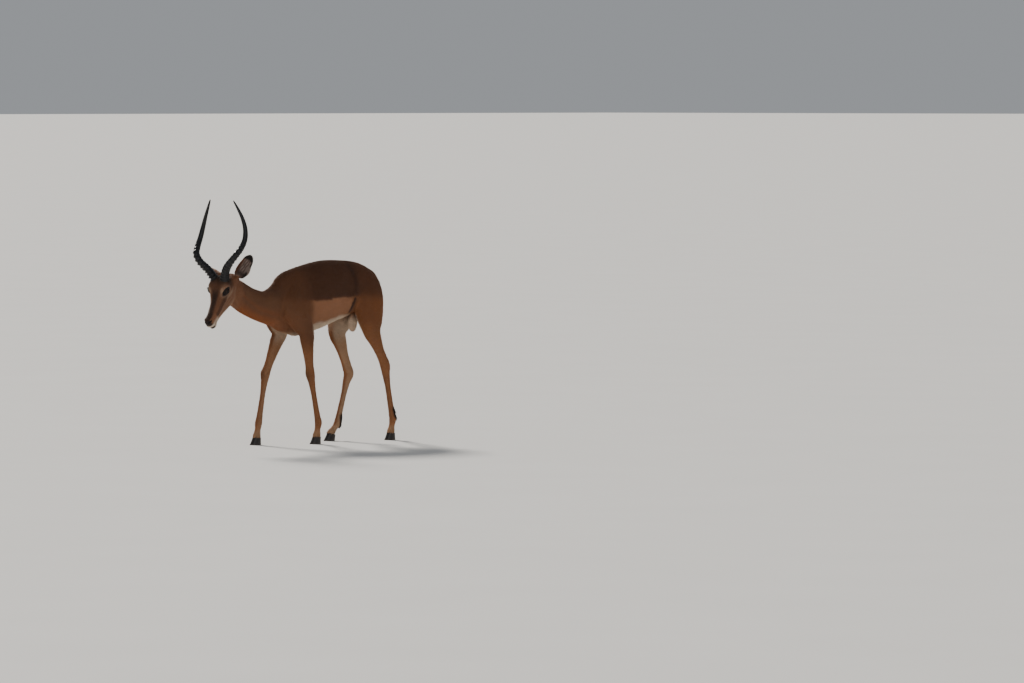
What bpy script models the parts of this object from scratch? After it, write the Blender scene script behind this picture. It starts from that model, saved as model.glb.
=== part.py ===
"""A life-size still model of an impala ram, walking with its head carried low.

Metres, +Z up. The ram faces -Y and its left side is +X. The origin is on the ground, under the
middle of the model's box. The flesh is lofted whole along its spine, head and legs, fused into one
skin, and then parted with thin cuts where a person would name the pieces. Horns, eyes, hooves,
ears, tail and scrotum are pieces of their own, set against the flesh with a hair of clearance.
"""

import math

import bmesh
import bpy
import numpy as np
from mathutils import Matrix, Vector
from mathutils.bvhtree import BVHTree

# ---------------------------------------------------------------- driving dimensions
GAP = 0.0004  # clearance between neighbouring pieces
VOXEL = 0.0045  # grain of the fused flesh
FLESH_FACES = 3500  # triangles kept in the fused flesh
ORIGIN = Vector((-0.0101, -0.1761, 0.0))  # the middle of the model's box, on the ground

# The trunk from the buttocks forward: y, back line, belly line, half width, how far the width
# sits below the middle (0 is even, 0.3 is pear shaped).
TRUNK = [
    (0.385, 0.845, 0.745, 0.040, 0.00),
    (0.355, 0.878, 0.700, 0.074, 0.00),
    (0.290, 0.914, 0.674, 0.094, 0.00),
    (0.220, 0.940, 0.668, 0.100, 0.04),
    (0.120, 0.951, 0.644, 0.106, 0.08),
    (0.020, 0.951, 0.618, 0.118, 0.12),
    (-0.080, 0.934, 0.588, 0.120, 0.14),
    (-0.165, 0.914, 0.568, 0.104, 0.16),
    (-0.235, 0.892, 0.560, 0.084, 0.18),
    (-0.300, 0.844, 0.586, 0.070, 0.16),
    (-0.345, 0.804, 0.625, 0.050, 0.10),
]

# The neck from inside the chest to the skull: y, z of its middle, half width, height above, depth below.
NECK = [
    (-0.200, 0.758, 0.066, 0.126, 0.130),
    (-0.270, 0.735, 0.070, 0.122, 0.126),
    (-0.335, 0.723, 0.063, 0.098, 0.108),
    (-0.400, 0.724, 0.055, 0.077, 0.087),
    (-0.470, 0.741, 0.049, 0.072, 0.078),
    (-0.540, 0.772, 0.047, 0.070, 0.076),
    (-0.600, 0.810, 0.046, 0.064, 0.074),
    (-0.640, 0.835, 0.042, 0.048, 0.062),
]

# The head lies along its own axis, nose towards -Y and crown up, and is then put in place.
HEAD_JOINT = Vector((0.0, -0.6155, 0.8665))
HEAD_PITCH = math.radians(51.0)
HEAD_TURN = math.radians(10.0)
HEAD_TILT = math.radians(2.5)
# Distance from the joint, then how far the surface stands from the axis at the crown, at each
# thirty degrees round the side, and under the throat. The brows, cheeks and jaw are in these.
HEAD = [
    (-0.020, 0.026, 0.030, 0.036, 0.040, 0.043, 0.048, 0.052),
    (0.012, 0.052, 0.051, 0.049, 0.047, 0.049, 0.058, 0.068),
    (0.045, 0.080, 0.079, 0.060, 0.049, 0.049, 0.062, 0.080),
    (0.075, 0.083, 0.093, 0.067, 0.050, 0.050, 0.064, 0.083),
    (0.100, 0.075, 0.093, 0.067, 0.049, 0.049, 0.063, 0.081),
    (0.125, 0.063, 0.072, 0.061, 0.047, 0.047, 0.058, 0.075),
    (0.150, 0.051, 0.054, 0.052, 0.044, 0.043, 0.052, 0.068),
    (0.180, 0.041, 0.042, 0.041, 0.038, 0.037, 0.045, 0.059),
    (0.210, 0.034, 0.034, 0.034, 0.032, 0.032, 0.040, 0.052),
    (0.240, 0.030, 0.029, 0.029, 0.028, 0.029, 0.037, 0.048),
    (0.265, 0.027, 0.028, 0.028, 0.027, 0.028, 0.036, 0.046),
    (0.284, 0.023, 0.026, 0.0265, 0.0255, 0.026, 0.032, 0.040),
    (0.298, 0.012, 0.014, 0.016, 0.0165, 0.017, 0.020, 0.022),
]
EYE = Vector((0.0470, -0.1070, 0.0440))  # in the head's own frame, left side
EYE_RADIUS = 0.0175

# Legs: joint places on the left (+X) and right side, read as the centre of the limb.
FORELEGS = {
    "left": {
        "withers": (0.040, -0.180, 0.868),
        "shoulder": (0.078, -0.262, 0.700),
        "elbow": (0.080, -0.170, 0.585),
        "knee": (0.077, -0.138, 0.366),
        "fetlock": (0.077, -0.083, 0.110),
        "coronet": (0.077, -0.093, 0.048),
        "toe": (0.077, -0.126, 0.0),
    },
    "right": {
        "withers": (-0.040, -0.190, 0.868),
        "shoulder": (-0.078, -0.272, 0.700),
        "elbow": (-0.080, -0.212, 0.580),
        "knee": (-0.077, -0.312, 0.368),
        "fetlock": (-0.077, -0.361, 0.112),
        "coronet": (-0.077, -0.372, 0.048),
        "toe": (-0.077, -0.404, 0.0),
    },
}
HINDLEGS = {
    "left": {
        "hip": (0.062, 0.268, 0.830),
        "stifle": (0.076, 0.292, 0.580),
        "hock": (0.078, 0.386, 0.388),
        "fetlock": (0.078, 0.441, 0.106),
        "coronet": (0.078, 0.430, 0.048),
        "toe": (0.078, 0.400, 0.0),
    },
    "right": {
        "hip": (-0.062, 0.268, 0.830),
        "stifle": (-0.076, 0.186, 0.575),
        "hock": (-0.078, 0.268, 0.346),
        "fetlock": (-0.078, 0.188, 0.088),
        "coronet": (-0.078, 0.150, 0.046),
        "toe": (-0.078, 0.112, 0.0),
    },
}

# How thick a limb is: between which joints, how far along, half width, radius forward, radius back.
FORELEG_FORM = [
    ("withers", "shoulder", -0.20, 0.006, 0.012, 0.016),
    ("withers", "shoulder", 0.05, 0.014, 0.042, 0.054),
    ("withers", "shoulder", 0.50, 0.029, 0.062, 0.080),
    ("shoulder", "elbow", 0.00, 0.037, 0.058, 0.086),
    ("shoulder", "elbow", 0.55, 0.039, 0.056, 0.064),
    ("elbow", "knee", 0.00, 0.036, 0.046, 0.044),
    ("elbow", "knee", 0.25, 0.029, 0.035, 0.037),
    ("elbow", "knee", 0.55, 0.0235, 0.027, 0.028),
    ("elbow", "knee", 0.85, 0.0215, 0.0225, 0.0225),
    ("knee", "fetlock", 0.00, 0.0245, 0.0255, 0.0235),
    ("knee", "fetlock", 0.13, 0.0195, 0.0195, 0.0205),
    ("knee", "fetlock", 0.30, 0.0145, 0.0150, 0.0170),
    ("knee", "fetlock", 0.65, 0.0135, 0.0140, 0.0160),
    ("knee", "fetlock", 0.90, 0.0160, 0.0165, 0.0190),
    ("knee", "fetlock", 1.00, 0.0185, 0.0185, 0.0205),
    ("fetlock", "coronet", 0.50, 0.0160, 0.0160, 0.0165),
    ("fetlock", "coronet", 1.00, 0.0195, 0.0210, 0.0190),
    ("fetlock", "coronet", 1.40, 0.0195, 0.0210, 0.0190),
]
HINDLEG_FORM = [
    ("hip", "stifle", -0.26, 0.012, 0.020, 0.024),
    ("hip", "stifle", -0.05, 0.036, 0.062, 0.074),
    ("hip", "stifle", 0.30, 0.052, 0.088, 0.098),
    ("hip", "stifle", 0.55, 0.054, 0.088, 0.090),
    ("hip", "stifle", 0.80, 0.048, 0.074, 0.076),
    ("stifle", "hock", 0.05, 0.036, 0.050, 0.054),
    ("stifle", "hock", 0.30, 0.027, 0.036, 0.040),
    ("stifle", "hock", 0.60, 0.0205, 0.025, 0.032),
    ("stifle", "hock", 0.82, 0.0200, 0.0225, 0.034),
    ("hock", "fetlock", 0.00, 0.0230, 0.0250, 0.0330),
    ("hock", "fetlock", 0.12, 0.0200, 0.0215, 0.0240),
    ("hock", "fetlock", 0.30, 0.0150, 0.0165, 0.0185),
    ("hock", "fetlock", 0.65, 0.0138, 0.0150, 0.0170),
    ("hock", "fetlock", 0.90, 0.0160, 0.0165, 0.0195),
    ("hock", "fetlock", 1.00, 0.0185, 0.0185, 0.0205),
    ("fetlock", "coronet", 0.50, 0.0160, 0.0160, 0.0165),
    ("fetlock", "coronet", 1.00, 0.0195, 0.0210, 0.0190),
    ("fetlock", "coronet", 1.40, 0.0195, 0.0210, 0.0190),
]

# A horn in the head's frame, from inside the skull to the tip: out to the side, towards the nose, up.
HORN = [
    (0.0230, 0.0620, 0.0480),
    (0.0340, 0.0540, 0.0810),
    (0.0588, 0.0348, 0.1279),
    (0.0932, 0.0183, 0.1637),
    (0.1232, -0.0146, 0.1820),
    (0.1383, -0.0629, 0.1840),
    (0.1420, -0.1145, 0.1919),
    (0.1355, -0.1610, 0.2154),
    (0.1200, -0.1997, 0.2490),
    (0.0979, -0.2317, 0.2871),
    (0.0734, -0.2601, 0.3269),
]
HORN_BASE_RADIUS = 0.0225
HORN_TIP_RADIUS = 0.0022
HORN_TAPER = 0.62
HORN_RINGS = 16
HORN_RINGED_SHARE = 0.62  # the rest of the horn, out to its tip, is smooth
RING_HEIGHT = 0.0030

# An ear in the head's frame: where it leaves the skull, the way it points, the way it opens.
EARS = {
    "left": ((0.058, 0.006, 0.022), (0.668, 0.425, 0.609), (0.224, -0.898, 0.383)),
    "right": ((-0.052, 0.004, 0.022), (-0.950, 0.270, -0.110), (-0.290, -0.900, -0.300)),
}
EAR_LENGTH = 0.152
EAR_HALF_WIDTH = 0.0290
EAR_THICKNESS = 0.0034
EAR_LOBE = 0.26  # how much fuller the ear's lower edge is, near its root

# The tail's middle line, y and z, and half its width.
TAIL = [
    (0.350, 0.870, 0.018),
    (0.384, 0.850, 0.018),
    (0.405, 0.808, 0.016),
    (0.412, 0.745, 0.015),
    (0.411, 0.680, 0.019),
    (0.407, 0.625, 0.018),
    (0.403, 0.585, 0.006),
]
SCROTUM = (Vector((0.0, 0.228, 0.622)), (0.021, 0.027, 0.048))

HOOF_LENGTH = 0.058
HOOF_HALF_WIDTH = 0.0105
HOOF_SPLAY = 0.0112  # each claw's middle, out from the middle of the foot

# The underline plane parts all four legs from the trunk just below the belly.
UNDERLINE_FRONT = Vector((0.0, -0.220, 0.541))
UNDERLINE_REAR = Vector((0.0, 0.220, 0.647))
NECK_CUT = (Vector((0.0, -0.346, 0.727)), Vector((0.0, -0.97, 0.24)))
HEAD_CUT = (Vector((0.0, -0.575, 0.797)), Vector((0.0, -0.90, 0.20)))

COAT_COLOUR = (0.40, 0.19, 0.08, 1.0)
LEG_COLOUR = (0.45, 0.24, 0.12, 1.0)
PALE_COLOUR = (0.72, 0.62, 0.50, 1.0)
HORN_COLOUR = (0.035, 0.03, 0.028, 1.0)
EYE_COLOUR = (0.012, 0.008, 0.006, 1.0)


# ---------------------------------------------------------------- small tools
def clear_scene():
    for old in list(bpy.data.objects):
        bpy.data.objects.remove(old, do_unlink=True)


def material(name, colour, roughness, metallic=0.0):
    made = bpy.data.materials.new(name)
    made.use_nodes = True
    shader = made.node_tree.nodes["Principled BSDF"]
    shader.inputs["Base Color"].default_value = colour
    shader.inputs["Roughness"].default_value = roughness
    shader.inputs["Metallic"].default_value = metallic
    return made


def smooth_values(knots, values, at):
    """Values given at the knots, read off a smooth curve at other places."""
    knots, values, at = (np.asarray(given, float) for given in (knots, values, at))
    slopes = np.gradient(values, knots, axis=0)
    i = np.clip(np.searchsorted(knots, at, side="right") - 1, 0, len(knots) - 2)
    span = (knots[i + 1] - knots[i])[:, None]
    s = (at - knots[i])[:, None] / span
    start = (2 * s**3 - 3 * s**2 + 1) * values[i] + (s**3 - 2 * s**2 + s) * span * slopes[i]
    end = (3 * s**2 - 2 * s**3) * values[i + 1] + (s**3 - s**2) * span * slopes[i + 1]
    return start + end


def curve_through(rows, count):
    """Rows of numbers made into count rows on one smooth curve, evenly spaced along its length."""
    rows = np.asarray(rows, float)
    steps = np.linalg.norm(np.diff(rows[:, :3], axis=0), axis=1)
    knots = np.concatenate([[0.0], np.cumsum(steps)])
    return smooth_values(knots, rows, np.linspace(0.0, knots[-1], count))


def closed_tube(rings, tip_start, tip_end):
    """A closed mesh through rings of points, each a ring of the same count, ending in two tips."""
    count, sides = len(rings), len(rings[0])
    points = [tuple(p) for ring in rings for p in ring]
    points += [tuple(tip_start), tuple(tip_end)]
    faces = []
    for i in range(count - 1):
        for j in range(sides):
            k = (j + 1) % sides
            faces.append((i * sides + j, i * sides + k, (i + 1) * sides + k, (i + 1) * sides + j))
    first, last = count * sides, count * sides + 1
    for j in range(sides):
        k = (j + 1) % sides
        faces.append((first, k, j))
        faces.append((last, (count - 1) * sides + j, (count - 1) * sides + k))
    mesh = bpy.data.meshes.new("tube")
    mesh.from_pydata(points, [], faces)
    facing_out(mesh)
    return mesh


def facing_out(mesh):
    work = bmesh.new()
    work.from_mesh(mesh)
    bmesh.ops.recalc_face_normals(work, faces=work.faces)
    if work.calc_volume(signed=True) < 0:
        bmesh.ops.reverse_faces(work, faces=work.faces)
    work.to_mesh(mesh)
    work.free()


def loft(rows, sides=32, step=0.009):
    """A limb or trunk: rows of (x, y, z, half width, radius on the front or top, radius on the back or
    underside, pear share). The front of a limb that points down is -Y, and of one that points -Y is +Z."""
    rows = np.asarray(rows, float)
    length = np.linalg.norm(np.diff(rows[:, :3], axis=0), axis=1).sum()
    fine = curve_through(rows, max(8, int(length / step)))
    centres = fine[:, :3]
    along = np.gradient(centres, axis=0)
    along /= np.linalg.norm(along, axis=1)[:, None]
    across = np.array([1.0, 0.0, 0.0]) - along * along[:, :1]
    across /= np.linalg.norm(across, axis=1)[:, None]
    front = np.cross(along, across)
    turn = np.linspace(0.0, 2 * math.pi, sides, endpoint=False)
    cosine, sine = np.cos(turn), np.sin(turn)
    rings = []
    for c, a, f, row in zip(centres, across, front, fine):
        side, ahead, behind, pear = np.maximum(row[3:7], (0.001, 0.001, 0.001, 0.0))
        reach = np.where(cosine > 0, ahead, behind) * cosine
        width = side * sine * (1 - pear * cosine)
        rings.append(c + np.outer(width, a) + np.outer(reach, f))
    return closed_tube(rings, centres[0], centres[-1])


def ball(centre, radii, segments=24):
    """An ellipsoid, with its radii along X, Y and Z."""
    mesh = bpy.data.meshes.new("ball")
    work = bmesh.new()
    bmesh.ops.create_uvsphere(work, u_segments=segments, v_segments=segments * 2 // 3, radius=1.0)
    place = Matrix.Translation(centre) @ Matrix.Diagonal((*radii, 1.0))
    bmesh.ops.transform(work, matrix=place, verts=work.verts)
    work.to_mesh(mesh)
    work.free()
    return mesh


def head_place():
    """The head's own frame, nose along -Y, tipped down, turned a little to the left and tilted."""
    turned = Matrix.Rotation(HEAD_TURN, 4, "Z")
    tipped = Matrix.Rotation(HEAD_PITCH, 4, "X")
    tilted = Matrix.Rotation(HEAD_TILT, 4, "Y")
    return Matrix.Translation(HEAD_JOINT) @ turned @ tipped @ tilted


def sides_of(side):
    return 1.0 if side == "left" else -1.0


def limb_rows(joints, form):
    """Centre and radii along one leg, from its joints and the leg's common form."""
    rows = []
    for start, end, share, side, ahead, behind in form:
        reach = Vector(joints[end]) - Vector(joints[start])
        rows.append((*(Vector(joints[start]) + reach * share), side, ahead, behind, 0.0))
    return rows


# ---------------------------------------------------------------- the flesh, whole
def trunk_form():
    rows = []
    for y, top, bottom, half_width, pear in TRUNK:
        middle = 0.54 * top + 0.46 * bottom
        rows.append((0.0, y, middle, half_width, top - middle, middle - bottom, pear))
    return loft(rows, sides=40)


def neck_form():
    rows = [(0.0, y, z, side, up, down, 0.05) for y, z, side, up, down in NECK]
    return loft(rows, sides=36)


def skull_form(sides=36, step=0.006):
    """The head from its table: radii at every thirty degrees, the same on both sides."""
    table = np.array(HEAD)
    reach = table[-1, 0] - table[0, 0]
    at = np.linspace(table[0, 0], table[-1, 0], int(reach / step))
    fine = smooth_values(table[:, 0], table[:, 1:], at)
    mirrored = np.concatenate([fine[:, 1:2], fine, fine[:, -2:-1]], axis=1)
    turn = np.linspace(0.0, 360.0, sides, endpoint=False)
    folded = np.where(turn > 180.0, 360.0 - turn, turn)
    radii = smooth_values(np.arange(-30.0, 211.0, 30.0), mirrored.T, folded).T
    x, z = np.sin(np.radians(turn)), np.cos(np.radians(turn))
    rings = [np.stack([r * x, np.full(sides, -u), r * z], axis=1) for u, r in zip(at, radii)]
    return closed_tube(rings, (0.0, -at[0], 0.0), (0.0, -at[-1] - 0.003, -0.002))


def head_forms(place):
    """The skull, with the nostrils, the chin and the roots of the ears standing out from it."""
    forms = [skull_form()]
    for s in (1.0, -1.0):
        forms.append(ball(Vector((s * 0.0120, -0.276, 0.010)), (0.0130, 0.018, 0.015)))
        forms.append(ball(Vector((s * 0.0390, 0.005, 0.016)), (0.0190, 0.015, 0.015)))
    forms.append(ball(Vector((0.0, -0.268, -0.036)), (0.0170, 0.022, 0.013)))
    for mesh in forms:
        mesh.transform(place)
    return forms


def leg_forms():
    forms = []
    for side in ("left", "right"):
        forms.append(loft(limb_rows(FORELEGS[side], FORELEG_FORM), sides=24, step=0.008))
        forms.append(loft(limb_rows(HINDLEGS[side], HINDLEG_FORM), sides=24, step=0.008))
        hock = Vector(HINDLEGS[side]["hock"])
        stifle = Vector(HINDLEGS[side]["stifle"])
        heel = hock + (stifle - hock).normalized() * 0.026 + Vector((0.0, 0.024, 0.0))
        forms.append(ball(heel, (0.0125, 0.014, 0.022)))
    return forms


def fused(name, meshes, faces):
    """One skin round all these meshes, smoothed, and thinned to about this many triangles."""
    joined = bmesh.new()
    for mesh in meshes:
        joined.from_mesh(mesh)
    whole = bpy.data.meshes.new(name)
    joined.to_mesh(whole)
    joined.free()
    body = bpy.data.objects.new(name, whole)
    bpy.context.scene.collection.objects.link(body)
    remesh = body.modifiers.new("one skin", "REMESH")
    remesh.mode = "VOXEL"
    remesh.voxel_size = VOXEL
    full = evaluated_mesh(body)
    body.modifiers.clear()
    body.data = full
    shares = {"all over": [1.0] * len(full.vertices)}
    shares["trunk"] = [fade(v.co.z, 0.55, 0.63) * fade(v.co.y, -0.56, -0.48) for v in full.vertices]
    for name, iterations in (("all over", 5), ("trunk", 24)):
        group = body.vertex_groups.new(name=name)
        for i, share in enumerate(shares[name]):
            group.add([i], share, "REPLACE")
        smooth = body.modifiers.new("soften " + name, "SMOOTH")
        smooth.factor = 0.5
        smooth.iterations = iterations
        smooth.vertex_group = name
    thin = body.modifiers.new("thin out", "DECIMATE")
    thin.ratio = faces / (2.0 * len(full.polygons))
    thin.use_collapse_triangulate = True
    result = evaluated_mesh(body)
    bpy.data.objects.remove(body, do_unlink=True)
    return result


def fade(value, low, high):
    """0 below low, 1 above high, and an even rise between."""
    return min(max((value - low) / (high - low), 0.0), 1.0)


def evaluated_mesh(obj):
    graph = bpy.context.evaluated_depsgraph_get()
    return bpy.data.meshes.new_from_object(obj.evaluated_get(graph))


# ---------------------------------------------------------------- cutting it into pieces
def kept_side(mesh, cuts):
    """The part of a closed mesh on the far side of every cut: (point on the plane, direction kept)."""
    work = bmesh.new()
    work.from_mesh(mesh)
    for point, direction in cuts:
        direction = direction.normalized()
        everything = work.verts[:] + work.edges[:] + work.faces[:]
        cut = bmesh.ops.bisect_plane(
            work,
            geom=everything,
            dist=1e-6,
            plane_co=point + direction * (GAP / 2),
            plane_no=direction,
            clear_inner=True,
        )
        rim = [e for e in cut["geom_cut"] if isinstance(e, bmesh.types.BMEdge) and e.is_valid]
        rim = [e for e in rim if e.is_boundary]
        bmesh.ops.triangle_fill(work, edges=rim, use_beauty=True, normal=-direction)
    bmesh.ops.dissolve_degenerate(work, edges=work.edges, dist=1e-6)
    bmesh.ops.triangulate(work, faces=work.faces)
    bmesh.ops.recalc_face_normals(work, faces=work.faces)
    out = bpy.data.meshes.new("piece")
    work.to_mesh(out)
    work.free()
    return out


def swollen(mesh, by):
    """A copy of the mesh, moved out along its normals, that cuts a neighbour with clearance."""
    grown = mesh.copy()
    normals = [v.normal.copy() for v in grown.vertices]
    for v, n in zip(grown.vertices, normals):
        v.co += n * by
    return grown


def place_piece(name, mesh, finish, pieces, smooth=True):
    mesh.name = name
    piece = bpy.data.objects.new(name, mesh)
    mesh.materials.clear()
    mesh.materials.append(finish)
    if smooth:
        mesh.shade_smooth()
    pieces.objects.link(piece)
    return piece


def cut_by(piece, cutter_mesh, cutters, solver="EXACT"):
    """Takes the cutter's space out of the piece, and keeps its largest body."""
    cutter = bpy.data.objects.new(piece.name + "_cutter", cutter_mesh)
    cutters.objects.link(cutter)
    cutter.hide_render = True
    cutter.display_type = "WIRE"
    boolean = piece.modifiers.new("clear its neighbour", "BOOLEAN")
    boolean.operation = "DIFFERENCE"
    boolean.solver = solver
    boolean.object = cutter
    bpy.context.view_layer.update()
    result = evaluated_mesh(piece)
    piece.modifiers.clear()
    piece.data = largest_body(result)
    return piece


def largest_body(mesh):
    """Only the biggest of a mesh's loose bodies."""
    work = bmesh.new()
    work.from_mesh(mesh)
    left = set(work.verts)
    bodies = []
    while left:
        stack = [left.pop()]
        body = set(stack)
        while stack:
            for edge in stack.pop().link_edges:
                for v in edge.verts:
                    if v in left:
                        left.discard(v)
                        body.add(v)
                        stack.append(v)
        bodies.append(body)
    if len(bodies) > 1:
        keep = max(bodies, key=lambda b: len(b))
        bmesh.ops.delete(work, geom=[v for v in work.verts if v not in keep], context="VERTS")
    work.to_mesh(mesh)
    work.free()
    return mesh


# ---------------------------------------------------------------- pieces of their own
def horn_mesh(side, place):
    """A ringed horn: the ridges crowd together near the skull and fade towards the smooth tip."""
    rows = [(side * out, -ahead, up) for out, ahead, up in HORN]
    stations = HORN_RINGS * 3 + 12
    path = curve_through(rows, stations)
    along = np.gradient(path, axis=0)
    along /= np.linalg.norm(along, axis=1)[:, None]
    sides = 9
    turn = np.linspace(0.0, 2 * math.pi, sides, endpoint=False)
    across = np.cross(along[0], (0.0, 0.0, 1.0))
    rings = []
    for i, (c, a) in enumerate(zip(path, along)):
        share = i / (stations - 1)
        across = across - a * across.dot(a)
        across /= np.linalg.norm(across)
        other = np.cross(a, across)
        radius = HORN_TIP_RADIUS + (HORN_BASE_RADIUS - HORN_TIP_RADIUS) * (1 - share) ** HORN_TAPER
        if share < HORN_RINGED_SHARE:
            fade = 1 - (share / HORN_RINGED_SHARE) ** 3
            radius += RING_HEIGHT * fade * (0.5 if i % 3 == 1 else -0.25)
        rings.append(c + radius * (np.outer(np.cos(turn), across) + np.outer(np.sin(turn), other)))
    mesh = closed_tube(rings, path[0], path[-1] + along[-1] * HORN_TIP_RADIUS)
    mesh.transform(place)
    return mesh


def ear_mesh(side, root, axis, opening, place):
    """A leaf-shaped cup, rolled into a tube at its root and open along its upper part."""
    rows, columns = 11, 7
    points, faces = [], []
    for i in range(rows):
        t = i / (rows - 1)
        spread = math.sin(math.pi * (0.20 + 0.78 * t ** 1.15)) ** 0.75
        half = max(EAR_HALF_WIDTH * spread, 0.004)
        curl = math.radians(165 - 108 * min(t * 1.6, 1.0) ** 0.8)
        radius = half / max(math.sin(min(curl, math.pi / 2)), 0.3)
        lobe = EAR_LOBE * math.exp(-(((t - 0.36) / 0.20) ** 2))
        for j in range(columns):
            angle = (2 * j / (columns - 1) - 1) * curl
            x = radius * math.sin(angle) * (1 + lobe * max(side * math.sin(angle), 0.0))
            y = radius * (math.cos(angle) - 0.75) + 0.012 * math.sin(math.pi * t)
            points.append((x, y, t * EAR_LENGTH))
    for i in range(rows - 1):
        for j in range(columns - 1):
            a = i * columns + j
            faces.append((a, a + 1, a + columns + 1, a + columns))
    mesh = bpy.data.meshes.new("ear")
    mesh.from_pydata(points, [], faces)
    shell = bpy.data.objects.new("ear shell", mesh)
    bpy.context.scene.collection.objects.link(shell)
    thick = shell.modifiers.new("thickness", "SOLIDIFY")
    thick.thickness = EAR_THICKNESS
    thick.offset = 0.0
    made = evaluated_mesh(shell)
    bpy.data.objects.remove(shell, do_unlink=True)
    along = Vector(axis).normalized()
    away = -(Vector(opening) - along * Vector(opening).dot(along)).normalized()
    across = away.cross(along)
    frame = Matrix((across, away, along)).transposed().to_4x4()
    made.transform(place @ Matrix.Translation(Vector(root)) @ frame)
    facing_out(made)
    return made


def tail_mesh():
    rows = [(0.0, y, z, width, width * 0.8, width * 0.8, 0.0) for y, z, width in TAIL]
    return loft(rows, sides=10, step=0.030)


def claw_mesh(foot, outer):
    """One claw of a cloven hoof: flat sole, sloping toe wall, straight inner wall."""
    coronet, toe = Vector(foot["coronet"]), Vector(foot["toe"])
    ahead = Vector((0.0, toe.y - coronet.y, 0.0)).normalized()
    heel_y = toe.y - ahead.y * HOOF_LENGTH
    levels, sides = 4, 12
    rings = []
    for i in range(levels):
        t = i / (levels - 1)
        z = 0.062 * t
        toe_y = toe.y - ahead.y * (0.030 * t + 0.004 * math.sin(math.pi * t))
        back_y = heel_y - ahead.y * (-0.004 * t)
        middle, half = (toe_y + back_y) / 2, abs(toe_y - back_y) / 2
        ring = []
        for j in range(sides):
            angle = 2 * math.pi * j / sides
            reach = math.cos(angle)
            width = HOOF_HALF_WIDTH * (1 - 0.10 * t) * (1 - 0.45 * max(reach, 0.0) ** 2)
            x = toe.x + outer * (HOOF_SPLAY + (1 - t) * 0.0008) + width * math.sin(angle)
            ring.append((x, middle + ahead.y * half * reach, z))
        rings.append(ring)
    first = Vector((toe.x + outer * HOOF_SPLAY, (toe.y + heel_y) / 2, 0.0))
    last = Vector((toe.x + outer * HOOF_SPLAY, sum(p[1] for p in rings[-1]) / sides, 0.062))
    return closed_tube(rings, first, last)


def coronet_plane(foot):
    """The cut between pastern and hoof, leaning with the foot: a point and the way up."""
    fetlock, coronet = Vector(foot["fetlock"]), Vector(foot["coronet"])
    up = (fetlock - coronet).normalized() + Vector((0.0, 0.0, 1.2))
    return Vector((coronet.x, coronet.y, coronet.z - 0.010)), up.normalized()


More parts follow.
